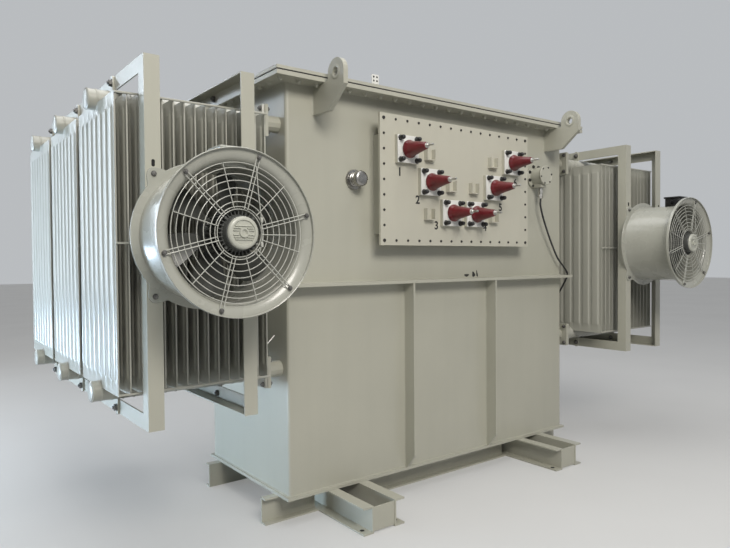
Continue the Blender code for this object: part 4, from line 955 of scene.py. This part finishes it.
def add_lug_rings():
    form = Form()
    z = COVER_HIGH.z - 0.013
    for wall, facing in ((FRONT, -1), (BACK, 1)):
        for x in (-LUG_X, LUG_X):
            y = wall + facing * 0.198
            for out in (-1, 1):
                form.lathe([(0.02, -0.001), (0.02, 0.0012), (0.0215, 0.0022), (0.033, 0.0022),
                            (0.0345, 0.0012), (0.0345, -0.001)], (x + out * 0.0125, y, z),
                           (out, 0, 0), 36)
    form.finish("lug_cheeks", TANK)


add_lug_rings()


# Frames: slots painted as dark shade discs, cleats and bolts


def add_frame_details():
    bolts = Form()
    cleats = Form()
    slots = Form()
    for side, sign in SIDES:
        for which, distance, inward in (("outer", 0.7667, -1), ("inner", 0.3168, 1)):
            low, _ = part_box("fan_frame_" + side + "_" + which)
            web = sign * (HALF_LENGTH + distance)
            into = sign * inward
            for y in RADIATOR_Y:
                for up in (-1, 1):
                    near = FIN_MIDDLE + up * (HEADER_RISE + HEADER_RADIUS - 0.004)
                    far = FIN_MIDDLE + up * (HEADER_RISE + 0.109)
                    outline = [(y - 0.018, near), (y + 0.018, near)]
                    outline += [(y + 0.018 * math.cos(a),
                                 far - up * 0.018 + up * 0.018 * math.sin(a))
                                for a in arc(0.0, math.pi, 10)]
                    cleats.slab(outline, web - into * 0.0003, web - into * 0.0083, "X")
                    z = FIN_MIDDLE + up * (HEADER_RISE + 0.078)
                    bolts.bolt((web - into * 0.0083, y, z), (-into, 0, 0), 0.014, up)
                    bolts.bolt((web + into * 0.0068, y, z), (into, 0, 0), 0.013, up * 2)
            front = low.y
            x = sign * (HALF_LENGTH + 0.74) if which == "outer" else sign * (HALF_LENGTH + 0.345)
            # each slot is a thin dark disc on the frame's front, painted as the shade inside the
            # slot
            outline = [(x + 0.004 + 0.0066 * math.cos(a),
                        1.657 + 0.0066 * math.sin(a) + (0.007 if math.sin(a) >= 0 else -0.007))
                       for a in arc(0.0, 2 * math.pi, 24)[:-1]]
            slots.slab(outline, front - 0.0006, front + 0.001, "Y")
    bolts.finish("frame_bolts", DULL)
    cleats.finish("frame_cleats", TANK)
    slots.finish("frame_slot_shade_discs", SHADE)


add_frame_details()


# Radiator valves


def add_valves():
    """Butterfly valves between the stubs' flanges, with levers at the lower ones."""
    form = Form()
    handles = Form()
    for _, sign in SIDES:
        for y in RADIATOR_Y[:2]:
            for up in (-1, 1):
                x = sign * (HALF_LENGTH + 0.0925)
                z = FIN_MIDDLE + up * HEADER_RISE
                form.rod((x, y, z - up * 0.076), (x, y, z - up * 0.09), 0.013, 20, chamfer=0.002)
                form.hexagon((x, y, z - up * 0.09), (0, 0, -up), 0.0105, 0.009)
                if up < 0:
                    stem = z + 0.099
                    handles.rod((x, y, stem), (x, y, stem + 0.01), 0.008, 16)
                    handles.lathe([(0, 0), (0.011, 0.002), (0.013, 0.009), (0.01, 0.016),
                                   (0, 0.018)], (x - sign * 0.004, y, stem + 0.006), (0, 0, 1), 20)
                    handles.tube([(x, y, stem + 0.012), (x - sign * 0.02, y - 0.004, stem + 0.022),
                                  (x - sign * 0.062, y - 0.01, stem + 0.066)], 0.0042, 8)
    form.finish("valve_stems", DULL)
    handles.finish("valve_handles", STEEL)


add_valves()


# Wall plug, gauge and cover tab


def add_plug():
    low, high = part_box("wall_plug")
    x, z = (low.x + high.x) / 2, (low.z + high.z) / 2
    form = Form()
    form.lathe([(0, 0), (0.052, 0), (0.052, 0.01), (0.05, 0.013), (0.04, 0.014),
                (0.0385, 0.02),
                (0.0345, 0.022), (0.034, 0.028), (0.0385, 0.03), (0.0395, 0.034), (0.0385, 0.038),
                (0.035, 0.04), (0.035, 0.046), (0.04, 0.048), (0.0405, 0.064), (0.0385, 0.07),
                (0.033, 0.0755), (0.024, 0.0775), (0.0, 0.0778)], (x, high.y, z), FORWARD, 48)
    form.finish("plug_body", NICKEL, stands_for=("wall_plug",))


def add_gauge():
    low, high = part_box("wall_gauge")
    x, z = (low.x + high.x) / 2, high.z - 0.078
    wall = FRONT - 0.0003
    form = Form()
    form.lathe([(0, 0), (0.078, 0), (0.078, 0.012), (0.076, 0.014), (0.06, 0.014), (0.057, 0.017),
                (0.056, 0.03), (0.056, 0.086), (0.06, 0.088), (0.062, 0.091), (0.062, 0.097),
                (0.06, 0.0995), (0.054, 0.1), (0.052, 0.0985), (0, 0.0985)],
               (x, wall, z), FORWARD, 64)
    form.soft_box((x - 0.03, wall - 0.082, z - 0.076), (x + 0.016, wall - 0.014, z - 0.046), 0.004)
    form.finish("gauge_body", TANK, stands_for=("wall_gauge",))
    bolts = Form()
    for k in range(8):
        angle = math.radians(22.5 + 45 * k)
        bolts.bolt((x + 0.067 * math.cos(angle), wall - 0.014, z + 0.067 * math.sin(angle)),
                   FORWARD, 0.0095, k)
    for k in range(6):
        angle = math.radians(10 + 60 * k)
        bolts.lathe([(0, 0), (0.0062, 0), (0.0062, 0.002), (0.0045, 0.004), (0, 0.004)],
                    (x + 0.053 * math.cos(angle), wall - 0.0985, z + 0.053 * math.sin(angle)),
                    FORWARD, 12)
    bolts.finish("gauge_bolts", SCREW)
    gland = Form()
    y = FRONT - GLAND_OUT
    top = z - 0.054
    gland.rod((x, y, top), (x, y, top - 0.04), 0.0115, 24)
    gland.lathe([(0, 0), (0.0165, 0), (0.0165, 0.015), (0.0145, 0.017), (0, 0.017)],
                (x, y, top - 0.04), (0, 0, -1), 6)
    gland.rod((x, y, top - 0.057), (x, y, top - 0.068), 0.0105, 24)
    gland.lathe([(0, 0), (0.016, 0), (0.016, 0.013), (0.0125, 0.02), (0.0095, 0.0235),
                 (0, 0.0235)], (x, y, top - 0.068), (0, 0, -1), 6, 0.3)
    gland.finish("gauge_gland", STEEL)


def add_cover_tab():
    """Dark discs on both faces of the flat tab on the cover, painted as the shade inside its holes.
    """
    low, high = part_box("cover_tab")
    x = (low.x + high.x) / 2
    holes = Form()
    for column in (-0.0105, 0.0105):
        for row in (0.0125, 0.0325, 0.0525):
            for face, facing in ((low.y, -1), (low.y + 0.004, 1)):
                holes.lathe([(0, -0.0005), (0.005, -0.0005), (0.005, 0.0006), (0, 0.0006)],
                            (x + column, face, high.z - row), (0, facing, 0), 18)
    holes.finish("cover_tab_shade_discs", SHADE)


add_plug()
add_gauge()


# Dark scuffs on the front wall above the ledge

SCUFF_X = 0.155

def add_scuffs():
    form = Form()
    ledge_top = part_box("mid_ledge_front")[1].z
    for x, z, long, tall, lean in ((SCUFF_X, 0.01, 0.02, 0.008, 0.1),
                                   (SCUFF_X + 0.06, 0.014, 0.013, 0.016, -0.15),
                                   (SCUFF_X + 0.09, 0.017, 0.006, 0.02, -0.2)):
        outline = []
        for angle in arc(0.0, 2 * math.pi, 14)[:-1]:
            rough = 1.0 + 0.18 * math.sin(3.0 * angle + 40.0 * x)
            a, b = long * rough * math.cos(angle), tall * rough * math.sin(angle)
            outline.append((x + a + b * lean, ledge_top + 0.006 + z + b))
        form.slab(outline, FRONT - 0.0004, FRONT + 0.0006, "Y")
    form.finish("wall_scuffs", SCREW)


add_scuffs()
add_cover_tab()


# Dark discs at the skid's ends, painted as the shade inside the holes


def add_skid_shade_discs():
    form = Form()
    for sign in (-1, 1):
        for end in (-1, 1):
            low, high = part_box("skid_foot_left" if sign < 0 else "skid_foot_right")
            y = (low.y + 0.045) if end < 0 else (high.y - 0.045)
            centre = sign * 0.731
            for side in (-1, 1):
                x = centre + side * (0.065 + 0.036)
                form.lathe([(0, 0), (0.011, 0), (0.011, 0.0006), (0, 0.0006)],
                           (x, y, 0.0079), (0, 0, 1), 24)
    form.finish("skid_shade_discs", SHADE)


add_skid_shade_discs()


# Floor and light


def seen_directly(tree, lit, shown):
    """The first value as light on the object, the second to the camera and in reflections."""
    path = tree.nodes.new("ShaderNodeLightPath")
    either = tree.nodes.new("ShaderNodeMath")
    either.operation = "MAXIMUM"
    tree.links.new(path.outputs["Is Camera Ray"], either.inputs[0])
    tree.links.new(path.outputs["Is Glossy Ray"], either.inputs[1])
    value = tree.nodes.new("ShaderNodeMapRange")
    value.inputs["To Min"].default_value = lit
    value.inputs["To Max"].default_value = shown
    tree.links.new(either.outputs[0], value.inputs["Value"])
    return value.outputs["Result"]


def add_stage():
    mesh = bpy.data.meshes.new("floor")
    size = 40.0
    mesh.from_pydata([(-size, -size, -0.0006), (size, -size, -0.0006), (size, size, -0.0006),
                      (-size, size, -0.0006)], [], [(0, 1, 2, 3)])
    nodes = Nodes("pale_floor")
    nodes.link(nodes.ramp(nodes.noise(0.8, 3.0), ((0.3, (0.43, 0.43, 0.425)),
                                                  (0.7, (0.46, 0.46, 0.455)))), "Base Color")
    nodes.shader.inputs["Roughness"].default_value = 0.75
    nodes.shader.inputs["Emission Color"].default_value = (0.9, 0.9, 0.89, 1.0)
    nodes.link(seen_directly(nodes.tree, 0.0, 0.22), "Emission Strength")
    mesh.materials.append(nodes.material)
    floor = bpy.data.objects.new("floor", mesh)
    bpy.context.scene.collection.objects.link(floor)


def add_lamp(name, place, aim, size, power, colour=(1.0, 1.0, 1.0)):
    data = bpy.data.lights.new(name, "AREA")
    data.shape = "RECTANGLE"
    data.size, data.size_y = size
    data.energy = power
    data.color = colour
    lamp = bpy.data.objects.new(name, data)
    bpy.context.scene.collection.objects.link(lamp)
    lamp.location = place
    lamp.rotation_euler = (Vector(aim) - Vector(place)).to_track_quat("-Z", "Y").to_euler()


def add_light():
    world = bpy.data.worlds.new("studio")
    world.use_nodes = True
    world.node_tree.nodes["Background"].inputs["Color"].default_value = (0.84, 0.87, 0.9, 1.0)
    world.node_tree.links.new(seen_directly(world.node_tree, 0.22, 0.58),
                              world.node_tree.nodes["Background"].inputs["Strength"])
    bpy.context.scene.world = world
    add_lamp("side_window", (-8.0, 0.2, 3.4), (-1.0, 0.3, 1.2), (4.0, 3.5), 6.0,
             (0.8, 0.9, 1.0))
    add_lamp("front_soft", (-2.2, -5.9, 5.0), (-0.5, -0.6, 1.1), (3.2, 2.0), 315.0,
             (1.0, 0.96, 0.9))
    add_lamp("top_soft", (-0.8, -0.4, 6.5), (0.0, 0.0, 0.0), (6.0, 5.0), 220.0)
    add_lamp("back_window", (-4.0, 5.2, 2.4), (-1.5, -0.6, 1.4), (0.8, 3.4), 60.0,
             (0.8, 0.9, 1.0))
    add_lamp("low_window", (-4.4, 1.6, 0.42), (-1.1, -0.2, 0.4), (2.6, 0.6), 115.0,
             (0.62, 0.8, 1.0))


add_stage()
add_light()
bpy.context.scene.view_settings.view_transform = "Standard"

bpy.context.view_layer.update()
